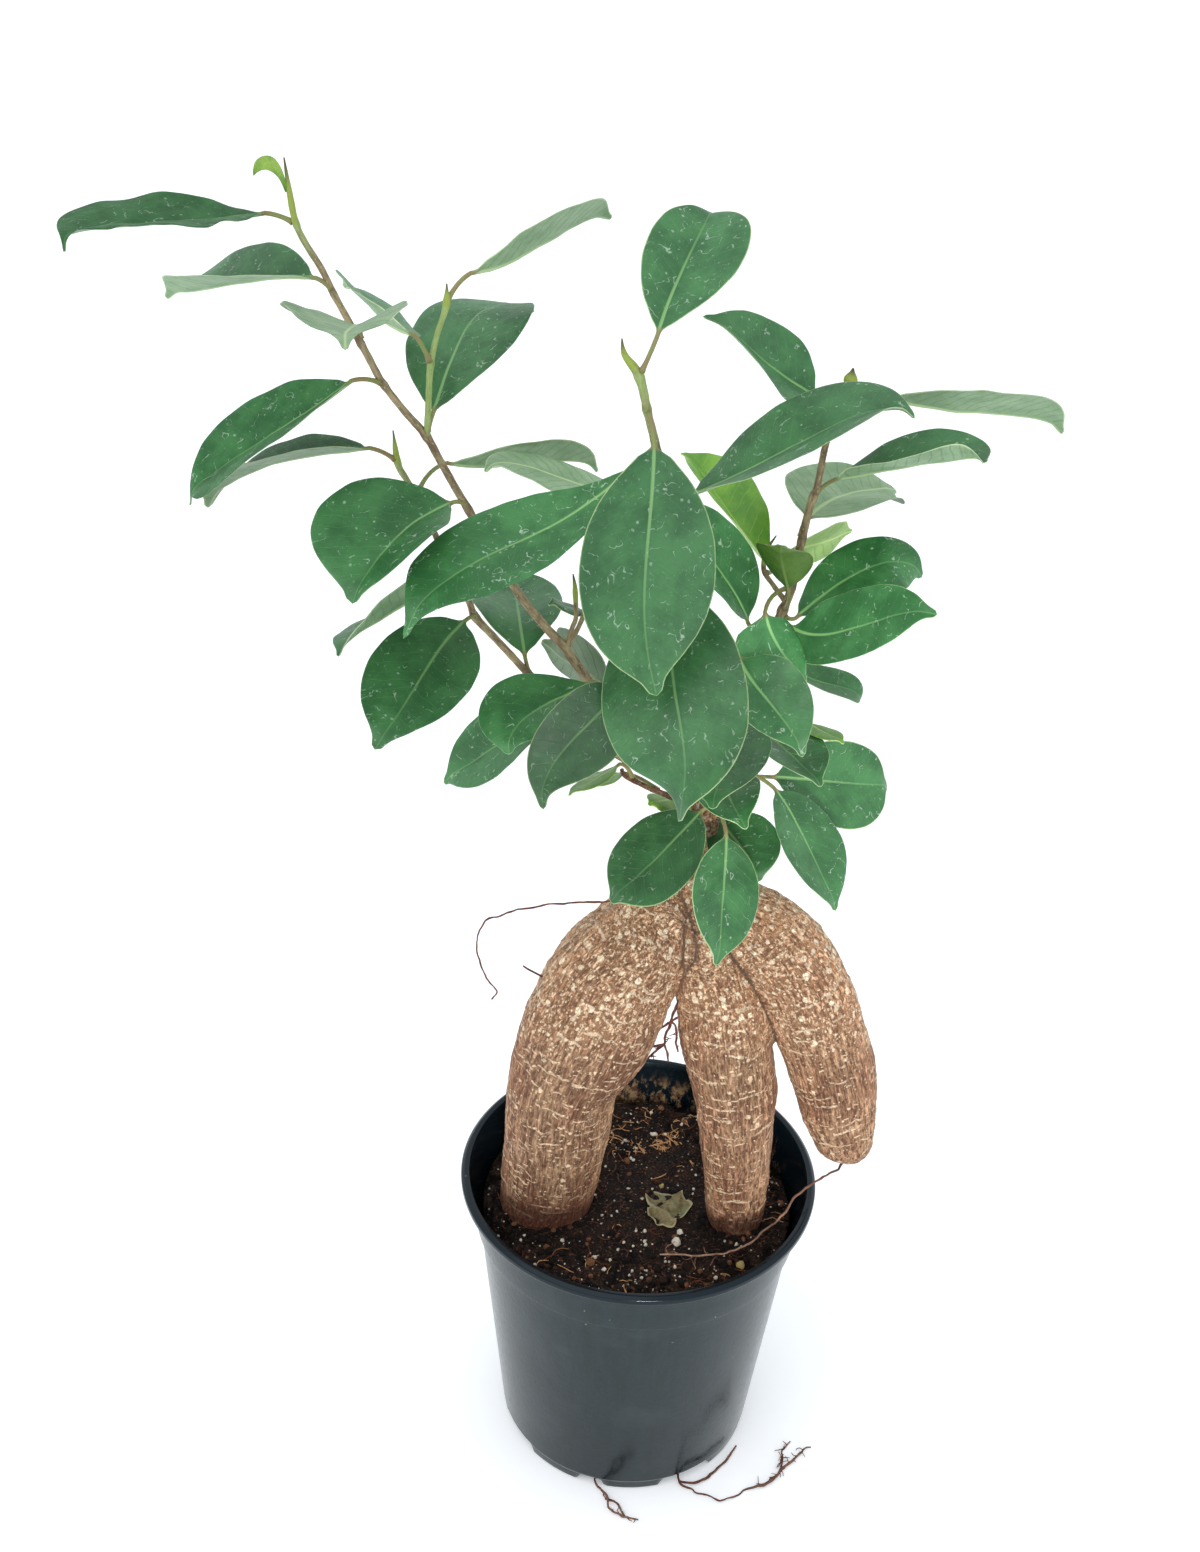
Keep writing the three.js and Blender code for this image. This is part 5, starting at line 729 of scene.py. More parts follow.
def soil_look():
    L = Look("potting_soil")
    p = L.scaled(L.obj(), (1000, 1000, 1000))
    base = L.mix(L.band(L.noise(p, 0.35, 5, 0.7), 0.40, 0.64), lin(15, 11, 10), lin(46, 32, 26))
    base = L.mix(L.band(L.noise(p, 1.3, 4, 0.7), 0.54, 0.66, 0, 0.75), base, lin(138, 98, 70))
    base = L.mix(L.band(L.noise(p, 0.12, 3), 0.54, 0.64, 0, 0.35), base, lin(70, 44, 30))
    base = L.bright(base, L.band(L.noise(p, 3.5, 2), 0.3, 0.7, 0.55, 1.35, False))
    d, c = L.cells(p, 0.62)
    speck = L.op("MULTIPLY", L.band(d, 0.10, 0.22, 1, 0), L.band(L.xyz(c)[0], 0.72, 0.74))
    base = L.mix(speck, base, lin(236, 226, 206))
    return L.done(base, 0.92, L.bump(L.noise(p, 1.6, 6, 0.75), 0.0012, 1.0), spec=0.25)


def crumb_look():
    L = Look("soil_crumb")
    p = L.scaled(L.obj(), (1000, 1000, 1000))
    tone = L.attr("tone")
    base = L.mix(L.band(tone, 0.66, 0.97), lin(22, 16, 13), lin(136, 94, 64))
    base = L.bright(base, L.band(L.noise(p, 1.8, 5, 0.7), 0.25, 0.75, 0.45, 1.5, False))
    return L.done(base, 0.9, L.bump(L.noise(p, 2.0, 5, 0.7), 0.0008, 1.0), spec=0.25)


def fibre_look():
    L = Look("soil_fibre")
    p = L.scaled(L.obj(), (1000, 1000, 1000))
    tone = L.attr("tone")
    base = L.mix(L.band(tone, 0.3, 0.9), lin(106, 60, 38), lin(222, 170, 118))
    base = L.bright(base, L.band(L.noise(p, 1.4, 4, 0.7), 0.25, 0.75, 0.55, 1.3, False))
    return L.done(base, 0.85, L.bump(L.noise(p, 3.0, 3), 0.0003, 0.8), spec=0.3)


def perlite_look():
    L = Look("perlite")
    p = L.scaled(L.obj(), (1000, 1000, 1000))
    base = L.mix(L.band(L.noise(p, 0.9, 4, 0.7), 0.35, 0.65), lin(254, 250, 238), lin(242, 226, 196))
    base = L.mix(L.band(L.attr("tone"), 0.8, 0.9), base, lin(198, 176, 112))
    return L.done(base, 0.85, L.bump(L.noise(p, 1.7, 5, 0.75), 0.0008, 1.0), spec=0.35)


def scrap_look():
    L = Look("leaf_scrap")
    p = L.scaled(L.obj(), (1000, 1000, 1000))
    base = L.mix(L.band(L.noise(p, 0.16, 3, 0.5), 0.42, 0.58), lin(122, 108, 66), lin(112, 122, 84))
    base = L.mix(L.band(L.noise(p, 0.5, 4, 0.65), 0.35, 0.62, 0.5, 0.0), base, lin(70, 62, 40))
    net = L.cells(L.noise_vec(p, 0.8, 0.5), 0.5, feature="DISTANCE_TO_EDGE")[0]
    base = L.mix(L.band(net, 0.0, 0.06, 0.3, 0.0), base, lin(176, 168, 120))
    base = L.mix(L.op("MULTIPLY", L.attr("margin"), 0.7), base, lin(196, 188, 146))
    return L.done(base, 0.5, L.bump(L.noise(p, 0.9, 4), 0.0003, 0.7), spec=0.5)


ROOT, SHOOT, BUD, HAIR = root_bark(), shoot_bark(), bud_green(), hair_root()
POT, POT_RIM = pot_plastic("pot_plastic", 0.37), pot_plastic("pot_rim", 0.24)
SOIL, CRUMB, FIBRE, PERLITE, SCRAP = soil_look(), crumb_look(), fibre_look(), perlite_look(), scrap_look()


# ------------------------------------------------------------------ leaves
PS = np.array([0, 0.03, 0.08, 0.16, 0.26, 0.38, 0.52, 0.66, 0.78, 0.87, 0.92, 0.95, 0.975, 0.99, 1])
PW = np.array([0.05, 0.16, 0.34, 0.6, 0.82, 0.96, 1, 0.93, 0.76, 0.50, 0.29, 0.175, 0.125, 0.085, 0])


def outline(s):
    h, d = np.diff(PS), np.diff(PW) / np.diff(PS)
    m = np.zeros(len(PS))
    for i in range(1, len(PS) - 1):
        if d[i - 1] * d[i] > 0:
            w1, w2 = 2 * h[i] + h[i - 1], h[i] + 2 * h[i - 1]
            m[i] = (w1 + w2) / (w1 / d[i - 1] + w2 / d[i])
    m[0], m[-1] = d[0], d[-1]
    i = np.clip(np.searchsorted(PS, s, side="right") - 1, 0, len(PS) - 2)
    t = (s - PS[i]) / h[i]
    return (2 * t**3 - 3 * t**2 + 1) * PW[i] + (t**3 - 2 * t**2 + t) * h[i] * m[i] + (-2 * t**3 + 3 * t**2) * PW[i + 1] + (t**3 - t**2) * h[i] * m[i + 1]


HALF = np.array([0, 0.014, 0.032, 0.056, 0.095, 0.16, 0.25, 0.35, 0.46, 0.57, 0.68, 0.78, 0.86, 0.92, 0.96, 0.985, 1.0])
HALF_SMALL = np.array([0, 0.03, 0.07, 0.14, 0.26, 0.40, 0.56, 0.72, 0.85, 0.94, 1.0])


def leaf(row, number):
    name, code, young, rule, P, U, tw, WL, WR, fold, curl, k, start, ctl, axis_at, stem_r = row
    P, U = np.array(P, float), unit(U)
    trait = TRAITS.get(code, {})
    small = np.linalg.norm(P[3] - P[0]) < 22
    half = HALF_SMALL if small else HALF
    v = np.concatenate([-half[:0:-1], half])
    rows = 34 if small else 60
    s = np.linspace(0, 1, rows)
    s = s + 0.10 * np.sin(2 * math.pi * s) / (2 * math.pi) * -1  # closer together at the base and the tip
    s = s[:-1]

    def mid(x):
        x = x[:, None]
        return (1 - x) ** 3 * P[0] + 3 * x * (1 - x) ** 2 * P[1] + 3 * x * x * (1 - x) * P[2] + x**3 * P[3]

    def tan(x):
        x = x[:, None]
        return unit(3 * (1 - x) ** 2 * (P[1] - P[0]) + 6 * x * (1 - x) * (P[2] - P[1]) + 3 * x * x * (P[3] - P[2]))

    def frames(x):
        T = tan(x)
        S = unit(np.cross(T, U) if rule == 1 else U - T * (T @ U)[:, None])
        N = np.cross(S, T)
        q = (tw * (x - 0.4) + trait.get("twist", 0) * smooth01(x, 0.5, 1))[:, None]
        return T, S * np.cos(q) + N * np.sin(q), N * np.cos(q) - S * np.sin(q)

    fine = np.linspace(0, 1, 400)
    run = np.concatenate([[0], np.cumsum(np.linalg.norm(np.diff(mid(fine), axis=0), axis=1))])
    length = run[-1]
    ls = np.interp(s, fine, run)
    M, (T, S, N) = mid(s), frames(s)
    w = outline(s**k) * (1 - trait.get("sharp", 0.0) * smooth01(s, 0.78, 0.97))
    W = np.where(v < 0, WL, WR)
    sgn = np.sign(v)
    d = np.abs(v)[None] * w[:, None] * W[None]                       # distance from the midrib
    toward = unit(np.array([-16.669, -417.382, 469.476]) - M[len(M) // 2])
    near_left = -S[len(S) // 2].dot(toward) > 0
    folds = (fold + trait.get("near", 0), fold + trait.get("far", 0))
    fa = np.where((v < 0) == near_left, folds[0], folds[1])
    x = sgn[None] * d * np.cos(fa)[None]
    y = d * np.sin(fa)[None] + curl * d**2 / W[None]
    # waves along the margin and quilting between the lateral veins
    LSG = np.broadcast_to(ls[:, None], d.shape)
    q = np.stack([LSG / trait.get("wl", 11.0) + 7.1 * number, np.sign(v)[None] * 3.3 + 0 * d, d / 30], -1).reshape(-1, 3)
    wave = fbm(q, 2, 5).reshape(d.shape)
    y = y + trait.get("wave", 0.75) * wave * np.abs(v)[None] ** 2.2 * smooth01(w, 0.1, 0.7)[:, None]
    pucker = np.cos((LSG - 0.62 * d) * 2 * math.pi / 3.1) * smooth01(d, 0.8, 3) * smooth01(W[None] * w[:, None] - d, 0.3, 2.5)
    y = y + 0.035 * pucker
    y = y + 0.16 * fbm(np.stack([LSG / 6 + 3 * number, sgn[None] * d / 6, 0 * d + number], -1).reshape(-1, 3), 2, 9).reshape(d.shape) * smooth01(w, 0.1, 0.5)[:, None]
    # the drip tip bends down a little
    drop = trait.get("tip", 1.4) * smooth01(s, 0.86, 1.02) ** 1.5
    y = y - drop[:, None]
    # thickness, midrib groove above and keel below
    th = 0.42 * (0.55 + 0.45 * smooth01(w, 0.05, 0.5))[:, None] * np.sqrt(np.clip(1 - np.abs(v)[None] ** 10, 0, 1))
    keel = (1 - 0.78 * ls / length)[:, None]
    rib = np.exp(-((d / 0.42) ** 2)) * np.ones_like(d)
    top = 0.5 * th - 0.16 * rib * keel
    bot = -0.5 * th - 0.42 * rib * keel
    up = y + top
    dn = y + bot
    n = len(v)
    ring_x = np.concatenate([x, x[:, -2:0:-1]], 1)
    ring_y = np.concatenate([up, dn[:, -2:0:-1]], 1)
    # the blade grows out of the round stalk
    grow = smooth01(ls, 0.0, 3.2)[:, None]
    ang = np.concatenate([np.pi * (1 - np.arange(n) / (n - 1)), -np.pi * np.arange(1, n - 1) / (n - 1)])
    rs = 0.52 * (1 - 0.15 * smooth01(ls, 0, 4))[:, None]
    ring_x = ring_x * grow + (1 - grow) * rs * np.cos(ang)[None] * 1.0 + (1 - grow) * 0
    ring_y = ring_y * grow + (1 - grow) * rs * np.sin(ang)[None]
    blade = M[:, None] + S[:, None] * ring_x[:, :, None] + N[:, None] * ring_y[:, :, None]
    # stalk, from inside the stem to the blade
    a0, c0 = np.array(start, float), np.array(ctl, float)
    c0 = 0.45 * c0 + 0.55 * (a0 + P[0]) / 2
    root_pt = a0 + unit(np.array(axis_at, float) - a0) * min(0.7, np.linalg.norm(np.array(axis_at, float) - a0))
    nt = 6 if small else 9
    t = np.linspace(0, 1, nt + 1)[:-1][:, None]
    SM = (1 - t) ** 2 * root_pt + 2 * t * (1 - t) * c0 + t * t * P[0]
    ST = unit(2 * (1 - t) * (c0 - root_pt) + 2 * t * (P[0] - c0))
    SS = unit(S[0] - ST * (ST @ S[0])[:, None])
    SN = np.cross(SS, ST)
    flare = 0.52 * (1 + 0.6 * np.exp(-t * 9))
    stalk = SM[:, None] + SS[:, None] * (np.cos(ang)[None, :, None] * flare[:, None]) + SN[:, None] * (np.sin(ang)[None, :, None] * flare[:, None])
    rings = np.vstack([stalk, blade])
    co, faces = loft(rings, root_pt - ST[0] * 0.3, mid(np.array([1.0]))[0] - N[-1] * drop[-1])
    kk = ring_x.shape[1]
    # attributes
    dr = np.concatenate([sgn[None] * d, (sgn[None] * d)[:, -2:0:-1]], 1)
    edge_s = np.linspace(0, 1, 240)
    els = np.interp(edge_s, fine, run)
    le = np.zeros_like(d)
    for sg, Wd in ((-1, WL), (1, WR)):
        cols = np.where((v < 0) if sg < 0 else (v >= 0))[0]
        line = np.stack([els, outline(edge_s**k) * Wd], -1)
        pts = np.stack([np.broadcast_to(ls[:, None], (len(ls), len(cols))), d[:, cols]], -1).reshape(-1, 1, 2)
        le[:, cols] = np.sqrt(((pts - line[None]) ** 2).sum(-1).min(1)).reshape(len(ls), len(cols))
    le = le + (1 - trait.get("rim", 0.55)) * 0.24
    ler = np.concatenate([le, le[:, -2:0:-1]], 1)
    tail = len(stalk) * kk
    st_len = np.linalg.norm(P[0] - root_pt)
    lc = np.stack([np.concatenate([np.repeat((t[:, 0] - 1) * st_len, kk), np.repeat(ls, kk), [-st_len, length]]),
                   np.concatenate([np.tile(np.cos(ang) * 0.6, nt), dr.ravel(), [0, 0]]),
                   np.full(len(co), 41.0 * number)], -1)
    ler = np.concatenate([np.full(tail, 5.0), ler.ravel(), [5.0, 0.0]])
    mask = np.concatenate([np.ones(tail), np.repeat(1 - smooth01(ls, 0.3, 2.2), kk), [1, 0]])
    lt = np.concatenate([np.zeros(tail), np.repeat(ls / length, kk), [0, 1]])
    # upper or lower face
    m = rings.shape[0]
    ij = np.tile(np.arange(kk), m - 1)
    under = (ij >= n - 1).astype(int)
    caps = np.concatenate([(np.arange(kk) >= n - 1).astype(int)] * 2)
    index = np.concatenate([under, caps])
    if trait.get("flip"):
        index = 1 - index
    mats = (YOUNG, YOUNG_UNDER) if young and not trait.get("old") else (GREEN_DULL if trait.get("dull") else GREEN, GREEN_UNDER)
    # brightness of the whole leaf: partly its own tone, partly painted light standing in for how it is lit
    tone_and_light = trait.get("tone_and_light", 1.0) * (1 + 0.08 * math.sin(number * 12.9))
    piece(name + "_look", co, faces, mats, index, {"lc": lc, "le": ler, "lt": lt, "stalk": mask, "tone_and_light": np.full(len(co), tone_and_light)},
          "leaf_young" if young else "leaf_green", (name,))


for number, row in enumerate(LEAVES):
    leaf(row, number)


# ------------------------------------------------------------------ swollen roots, crown and trunk
def wave_of(a, b, ph):
    return lambda th, arc, P: 1 + a * np.cos(2 * th + ph + P[:, 2:3] * 0.03) + b * np.cos(3 * th - ph + P[:, 2:3] * 0.09)


bodies = []
for st, sides, wv, ends in ((LEFT_ROOT, 90, wave_of(0.02, 0.02, 0.6), (0.5, 0.5)), (MIDDLE_ROOT, 72, wave_of(0.02, 0.025, 2.2), (0.5, 0.5)),
                            (RIGHT_ROOT, 72, wave_of(0.02, 0.02, 4.1), (0.5, 0.42)), (TRUNK, 48, None, (0.5, 0.5))):
    co, faces, _, _, _ = tube(st, sides, 10, wv, ends)
    bodies.append((co, faces, {}))
co, faces, _ = merged(bodies)
raw = piece("root_raw", co, faces, [])
mod = raw.modifiers.new("skin", "REMESH")
mod.mode, mod.voxel_size, mod.adaptivity = "VOXEL", 0.00066, 0.0
sm = raw.modifiers.new("soft", "SMOOTH")
sm.factor, sm.iterations = 0.5, 7
dg = bpy.context.evaluated_depsgraph_get()
me = bpy.data.meshes.new_from_object(raw.evaluated_get(dg))
bpy.data.objects.remove(raw)
n = len(me.vertices)
co = np.zeros(n * 3)
me.vertices.foreach_get("co", co)
nr = np.zeros(n * 3)
me.vertices.foreach_get("normal", nr)
co, nr = co.reshape(-1, 3) * 1000, nr.reshape(-1, 3)
quads = np.zeros(len(me.loops), int)
me.loops.foreach_get("vertex_index", quads)
size = np.zeros(len(me.polygons), int)
me.polygons.foreach_get("loop_total", size)
ends_at = np.cumsum(size)
faces = [quads[e - k:e].tolist() for e, k in zip(ends_at, size)]
bpy.data.meshes.remove(me)

# place of each point around and along its nearest root
best = np.full(n, 1e9)
second = np.full(n, 1e9)
rc = np.zeros((n, 3))
for g, st in enumerate((LEFT_ROOT, MIDDLE_ROOT, RIGHT_ROOT, TRUNK)):
    s = spline(st, 8)
    P, R = s[:, :3], s[:, 3]
    T = unit(np.gradient(P, axis=0))
    arc = np.concatenate([[0], np.cumsum(np.linalg.norm(np.diff(P, axis=0), axis=1))])
    near = np.zeros(n, int)
    dist = np.full(n, 1e9)
    for i in range(len(P)):
        e = np.linalg.norm(co - P[i], axis=1) - R[i]
        hit = e < dist
        dist[hit], near[hit] = e[hit], i
    rel = co - P[near]
    along = (rel * T[near]).sum(1)
    side = unit(np.array([0, 1.0, 0]) - T[near] * T[near][:, 1:2])
    up = np.cross(T[near], side)
    cand = np.stack([(rel * side).sum(1), (rel * up).sum(1), arc[near] + along + 211.0 * g], -1)
    hit = dist < best
    second = np.where(hit, best, np.minimum(second, dist))
    rc[hit] = cand[hit]
    best = np.where(hit, dist, best)
# how deep in a crease between two roots each point lies, for a dip in the relief and for painted shade
crease_shade = 1 - smooth01(second - best, 0.0, 1.5)
crown = smooth01(co[:, 2], 138, 172)
foot = (1 - smooth01(co[:, 2], 84, 97)) * (co[:, 0] < 50) + (1 - smooth01(co[:, 2], 108, 113)) * (co[:, 0] > 50) * 0.5
# relief
str1 = fbm(rc * [0.95, 0.95, 0.10], 3, 3)
lump = fbm(rc * [0.10, 0.10, 0.07], 3, 21)
pits = fbm(rc * [0.42, 0.42, 0.30], 3, 37)
ringy = vnoise(rc * [0.02, 0.02, 0.22], 55)
rings_ = np.exp(-((ringy / 0.09) ** 2)) * smooth01(vnoise(rc * [0.09, 0.09, 0.15], 61), -0.2, 0.3)
grain = fbm(rc * [0.8, 0.8, 0.55], 2, 83)
disp = 0.6 * lump + 0.24 * pits * (0.5 + crown) + 0.13 * grain + 0.15 * str1 + 0.18 * rings_ - 0.2 * crease_shade * (co[:, 2] > 120)
# the blunt end of the right root is uneven where it was torn off
end = smooth01(-co[:, 2], -110.5, -106) * (co[:, 0] > 48)
disp = disp + end * 0.9 * fbm(co * 0.33, 2, 71)
co = co + nr * disp[:, None]
low = (co[:, 0] > 40) & (co[:, 2] < 116) & (co[:, 2] > 100)
wide = 1 + 0.10 * smooth01(-co[:, 2], -118, -110) * (co[:, 0] > 40) * (co[:, 2] > 100)
co[:, 0] = 59.4 + (co[:, 0] - 59.4) * wide
co[:, 1] = -7 + (co[:, 1] + 7) * wide
flat = 112.6 - 3.4 * (1 - np.exp(-np.maximum(112.6 - co[:, 2], 0) / 3.4))
co[:, 2] = np.where(low & (co[:, 2] < 112.6), flat + 0.05 * (co[:, 0] - 59) * smooth01(112.6 - co[:, 2], 0, 3), co[:, 2])
twig_co, twig_faces, twig_rc, twig_al, twig_len = tube(LOW_TWIG, 16, 6, lambda th, arc, P: 1 + 0.06 * np.sin(3 * th + arc) + 0.18 * np.exp(-((np.mod(arc, 5.2) - 2.6) / 0.5) ** 2))
stub_co, stub_faces, stub_rc, _, _ = tube(np.array(FLANK_HAIR) * [1, 1, 1, 0.7], 9, 5)
zs = np.zeros(len(stub_co))
zero = np.zeros(len(twig_co))
main_faces = len(faces)
# painted shade: the creases between roots and the trunk above 197 mm, under the leaves, are darkened; the stub and the
# low twig are darkened all over
co, faces, at = merged([(co, faces, {"rc": rc, "crown": crown, "foot": foot, "crease_shade": np.clip(crease_shade + 0.8 * smooth01(co[:, 2], 197, 206), 0, 1)}),
                        (stub_co, stub_faces, {"rc": stub_rc + [0, 0, 950], "crown": zs, "foot": zs + 1.4, "crease_shade": zs + 1}),
                        (twig_co, twig_faces, {"rc": twig_rc + [0, 0, 900], "crown": zero, "foot": zero, "crease_shade": zero + 1.3})])
piece("ginseng_root_look", co, faces, [ROOT], None, at, "root_bark", ("ginseng_root",))
root_top = co


# ------------------------------------------------------------------ shoots
attach = np.array([row[14] for row in LEAVES], float)


def shoot(name, limbs, buds, greens, plump, extra=()):
    out = []
    for g, st in enumerate(limbs):
        st = np.array(st, float) * [1, 1, 1, 0.83]
        s = spline(st, 9)
        arc = np.concatenate([[0], np.cumsum(np.linalg.norm(np.diff(s[:, :3], axis=0), axis=1))])
        total = arc[-1]
        knots = []
        for a in attach:
            e = np.linalg.norm(s[:, :3] - a, axis=1)
            if e.min() < 2.2:
                knots.append(arc[e.argmin()])
        bud_at = total - buds[g]

        def shape(th, ar, P, knots=knots, total=total, bud_at=bud_at, g=g):
            q = np.ones_like(th)
            for c in knots:
                q += 0.20 * np.exp(-(((ar - c) / 0.9) ** 2)) + 0.10 * np.exp(-(((ar - c - 1.2) / 0.3) ** 2))
            q += 0.03 * np.sin(3 * th + ar * 0.6 + g) + 0.03 * np.sin(ar * 1.7 + g)
            t = np.clip((ar - bud_at) / max(total - bud_at, 1e-6), 0, 1)
            inside = ar > bud_at
            spear = 1.0 + plump[g] * np.sin(np.pi * np.clip(t * 1.15, 0, 1)) ** 1.2
            q = np.where(inside, q * spear * (1 + 0.06 * np.sin(2 * th)), q)
            return q

        co, faces, bark, along, total2 = tube(st, 20, 9, shape)
        age = smooth01(along / total, greens[g][0], greens[g][1])
        bud = np.clip((along - bud_at) / max(total - bud_at, 1e-6), 0, 1)
        scar = np.zeros(len(co))
        for c in knots:
            scar = np.maximum(scar, np.exp(-(((along - c - 1.2) / 0.28) ** 2)))
        out.append((co, faces, {"sc": bark + [0, 0, 300.0 * g], "age": age, "bud": bud, "scar": scar}))
    co, faces, at = merged(out)
    index = np.zeros(len(faces), int)
    for c, f in extra:
        faces = faces + [[i + len(co) for i in q] for q in f]
        co = np.vstack([co, c])
        index = np.concatenate([index, np.ones(len(f), int)])
        for key in at:
            pad = np.zeros((len(c), 3)) if key == "sc" else np.zeros(len(c))
            at[key] = np.concatenate([at[key], pad])
    piece(name + "_look", co, faces, [SHOOT, BUD], index, at, "shoot_bark", (name,))


def small_blade(path, half, up, fold=0.5, rows=26, cols=13):
    """Small thin folded blade along path, closed."""
    s = spline(path, rows // (len(path) - 1) + 1)
    P, H = s[:, :3], s[:, 3]
    T = unit(np.gradient(P, axis=0))
    up = np.array(up, float)
    S = unit(np.cross(T, up))
    N = np.cross(S, T)
    v = np.linspace(-1, 1, cols)
    x = v[None] * H[:, None] * math.cos(fold)
    y = np.abs(v)[None] * H[:, None] * math.sin(fold)
    t = 0.16 * np.sqrt(np.clip(1 - v[None] ** 6, 0, 1)) * np.minimum(1, H / 0.8)[:, None]
    rx = np.concatenate([x, x[:, -2:0:-1]], 1)
    ry = np.concatenate([y + t, (y - t)[:, -2:0:-1]], 1)
    rings = P[:, None] + S[:, None] * rx[:, :, None] + N[:, None] * ry[:, :, None]
    return loft(rings, P[0] - T[0] * 0.1, P[-1] + T[-1] * 0.1)


curl_leaf = small_blade([[-90.2, -9.2, 375.6, 0.35], [-91.0, -9.6, 378.4, 0.7], [-92.2, -9.9, 380.3, 1.3], [-93.6, -10.1, 381.2, 1.9], [-95.2, -10.2, 381.0, 1.6], [-96.4, -10.2, 379.9, 0.7], [-96.9, -10.2, 378.9, 0.12]], 2, (0.1, -0.75, 0.65), 0.5)
shoot("left_shoot", LEFT_SHOOT, [15.5, 5.5, 8.5, 8.0, 4.5], [(0.8, 1.0), (-0.9, 0.1), (0.75, 1.05), (0.9, 1.4), (0.9, 1.4)], [0.1, 0.35, 0.3, 0.2, 0.2], [curl_leaf])
shoot("centre_shoot", CENTRE_SHOOT, [8.6], [(0.55, 1.1)], [0.12])
shoot("right_shoot", RIGHT_SHOOT, [4.5, 9.0], [(0.75, 1.1), (0.3, 1.2)], [0.5, 0.2])


# ------------------------------------------------------------------ hair roots
def hairs(name, limbs, wiggle, pale=0.0, floor=None, seed=0, thick=0.65, stubs=()):
    out = []
    for g, st in enumerate(list(limbs) + list(stubs)):
        s = spline(st, 7)
        off = np.stack([fbm(s[:, :3] * 0.24 + 31 * g, 3, seed + 5 * c) for c in range(3)], -1) * wiggle
        fade = np.clip(np.minimum(np.arange(len(s)), len(s) - 1 - np.arange(len(s))) / 6.0, 0, 1)[:, None]
        s = s.copy()
        s[:, :3] += off * fade
        s[:, 3] *= (thick if g < len(limbs) else 1.0) * (1 + 0.25 * vnoise(s[:, :3] * 0.7, seed + 3))
        if floor is not None:
            s[:, 2] = np.maximum(s[:, 2], floor + s[:, 3] * 1.05)
        co, faces, bark, along, total = tube(s, 9, 1, lambda th, ar, P: 1 + 0.08 * np.sin(2 * th + ar * 1.3))
        out.append((co, faces, {"sc": bark + [0, 0, 200.0 * g], "pale": smooth01(along, 0, total) * pale}))
    co, faces, at = merged(out)
    piece(name + "_look", co, faces, [HAIR], None, at, "hair_root", (name,))


def rootlets(limbs, count, reach, seed, flat):
    """Fine side rootlets along the outer half of limbs."""
    g, out = np.random.default_rng(seed), []
    for _ in range(count):
        s = spline(limbs[int(g.integers(len(limbs)))], 6)
        i = int(g.integers(len(s) // 3, len(s) - 1))
        a, L_ = g.uniform(0, 2 * math.pi), g.uniform(0.4, 1.0) * reach
        d = np.array([math.cos(a), math.sin(a), 0.0 if flat else g.uniform(-0.7, 0.5)])
        b = np.array([-math.sin(a), math.cos(a), 0.0]) * g.uniform(-0.6, 0.6)
        out.append([(s[i, :3] + d * L_ * t + b * L_ * t * t).tolist() + [0.17 * (1 - 0.45 * t)] for t in (0, 0.3, 0.65, 1.0)])
    return out


hairs("crown_hair_root", [CROWN_HAIR], 0.35, 0.0, None, 3, 0.62)
hairs("tuber_end_hair_root", [END_HAIR], 0.7, 1.0, None, 5, 0.72, rootlets([END_HAIR[7:]], 9, 5.0, 21, False))
hairs("arch_hair_roots", ARCH_HAIR, 0.35, 0.0, None, 7, 0.8, rootlets([ARCH_HAIR[1], ARCH_HAIR[3]], 14, 2.2, 23, False))
hairs("drain_root_right", DRAIN_RIGHT, 0.6, 0.25, 0.0, 9, 0.60, rootlets([DRAIN_RIGHT[0][6:], DRAIN_RIGHT[1]], 26, 3.2, 25, True))
hairs("drain_root_left", DRAIN_LEFT, 0.6, 0.35, 0.0, 13, 0.66, rootlets(DRAIN_LEFT, 6, 3.0, 27, True))


# ------------------------------------------------------------------ pot
def rounded(points):
    """Profile of [r, z, fillet radius] with its corners rounded."""
    out = []
    for i, (r, z, f) in enumerate(points):
        if f == 0 or i in (0, len(points) - 1):
            out.append((r, z))
            continue
        p = np.array([r, z])
        a, b = unit(np.array(points[i - 1][:2]) - p), unit(np.array(points[i + 1][:2]) - p)
        half = math.acos(np.clip(a.dot(b), -1, 1)) / 2
        cut = min(f / max(math.tan(half), 1e-3), 0.45 * min(np.linalg.norm(np.array(points[i - 1][:2]) - p), np.linalg.norm(np.array(points[i + 1][:2]) - p)))
        for t in np.linspace(0, 1, 6):
            q = (1 - t) ** 2 * (p + a * cut) + 2 * t * (1 - t) * p + t * t * (p + b * cut)
            out.append((q[0], q[1]))
    dense = [out[0]]
    for a, b in zip(out, out[1:]):  # no span longer than 4 mm
        m = max(1, int(math.hypot(b[0] - a[0], b[1] - a[1]) / 4))
        dense += [(a[0] + (b[0] - a[0]) * t / m, a[1] + (b[1] - a[1]) * t / m) for t in range(1, m + 1)]
    return np.array(dense)


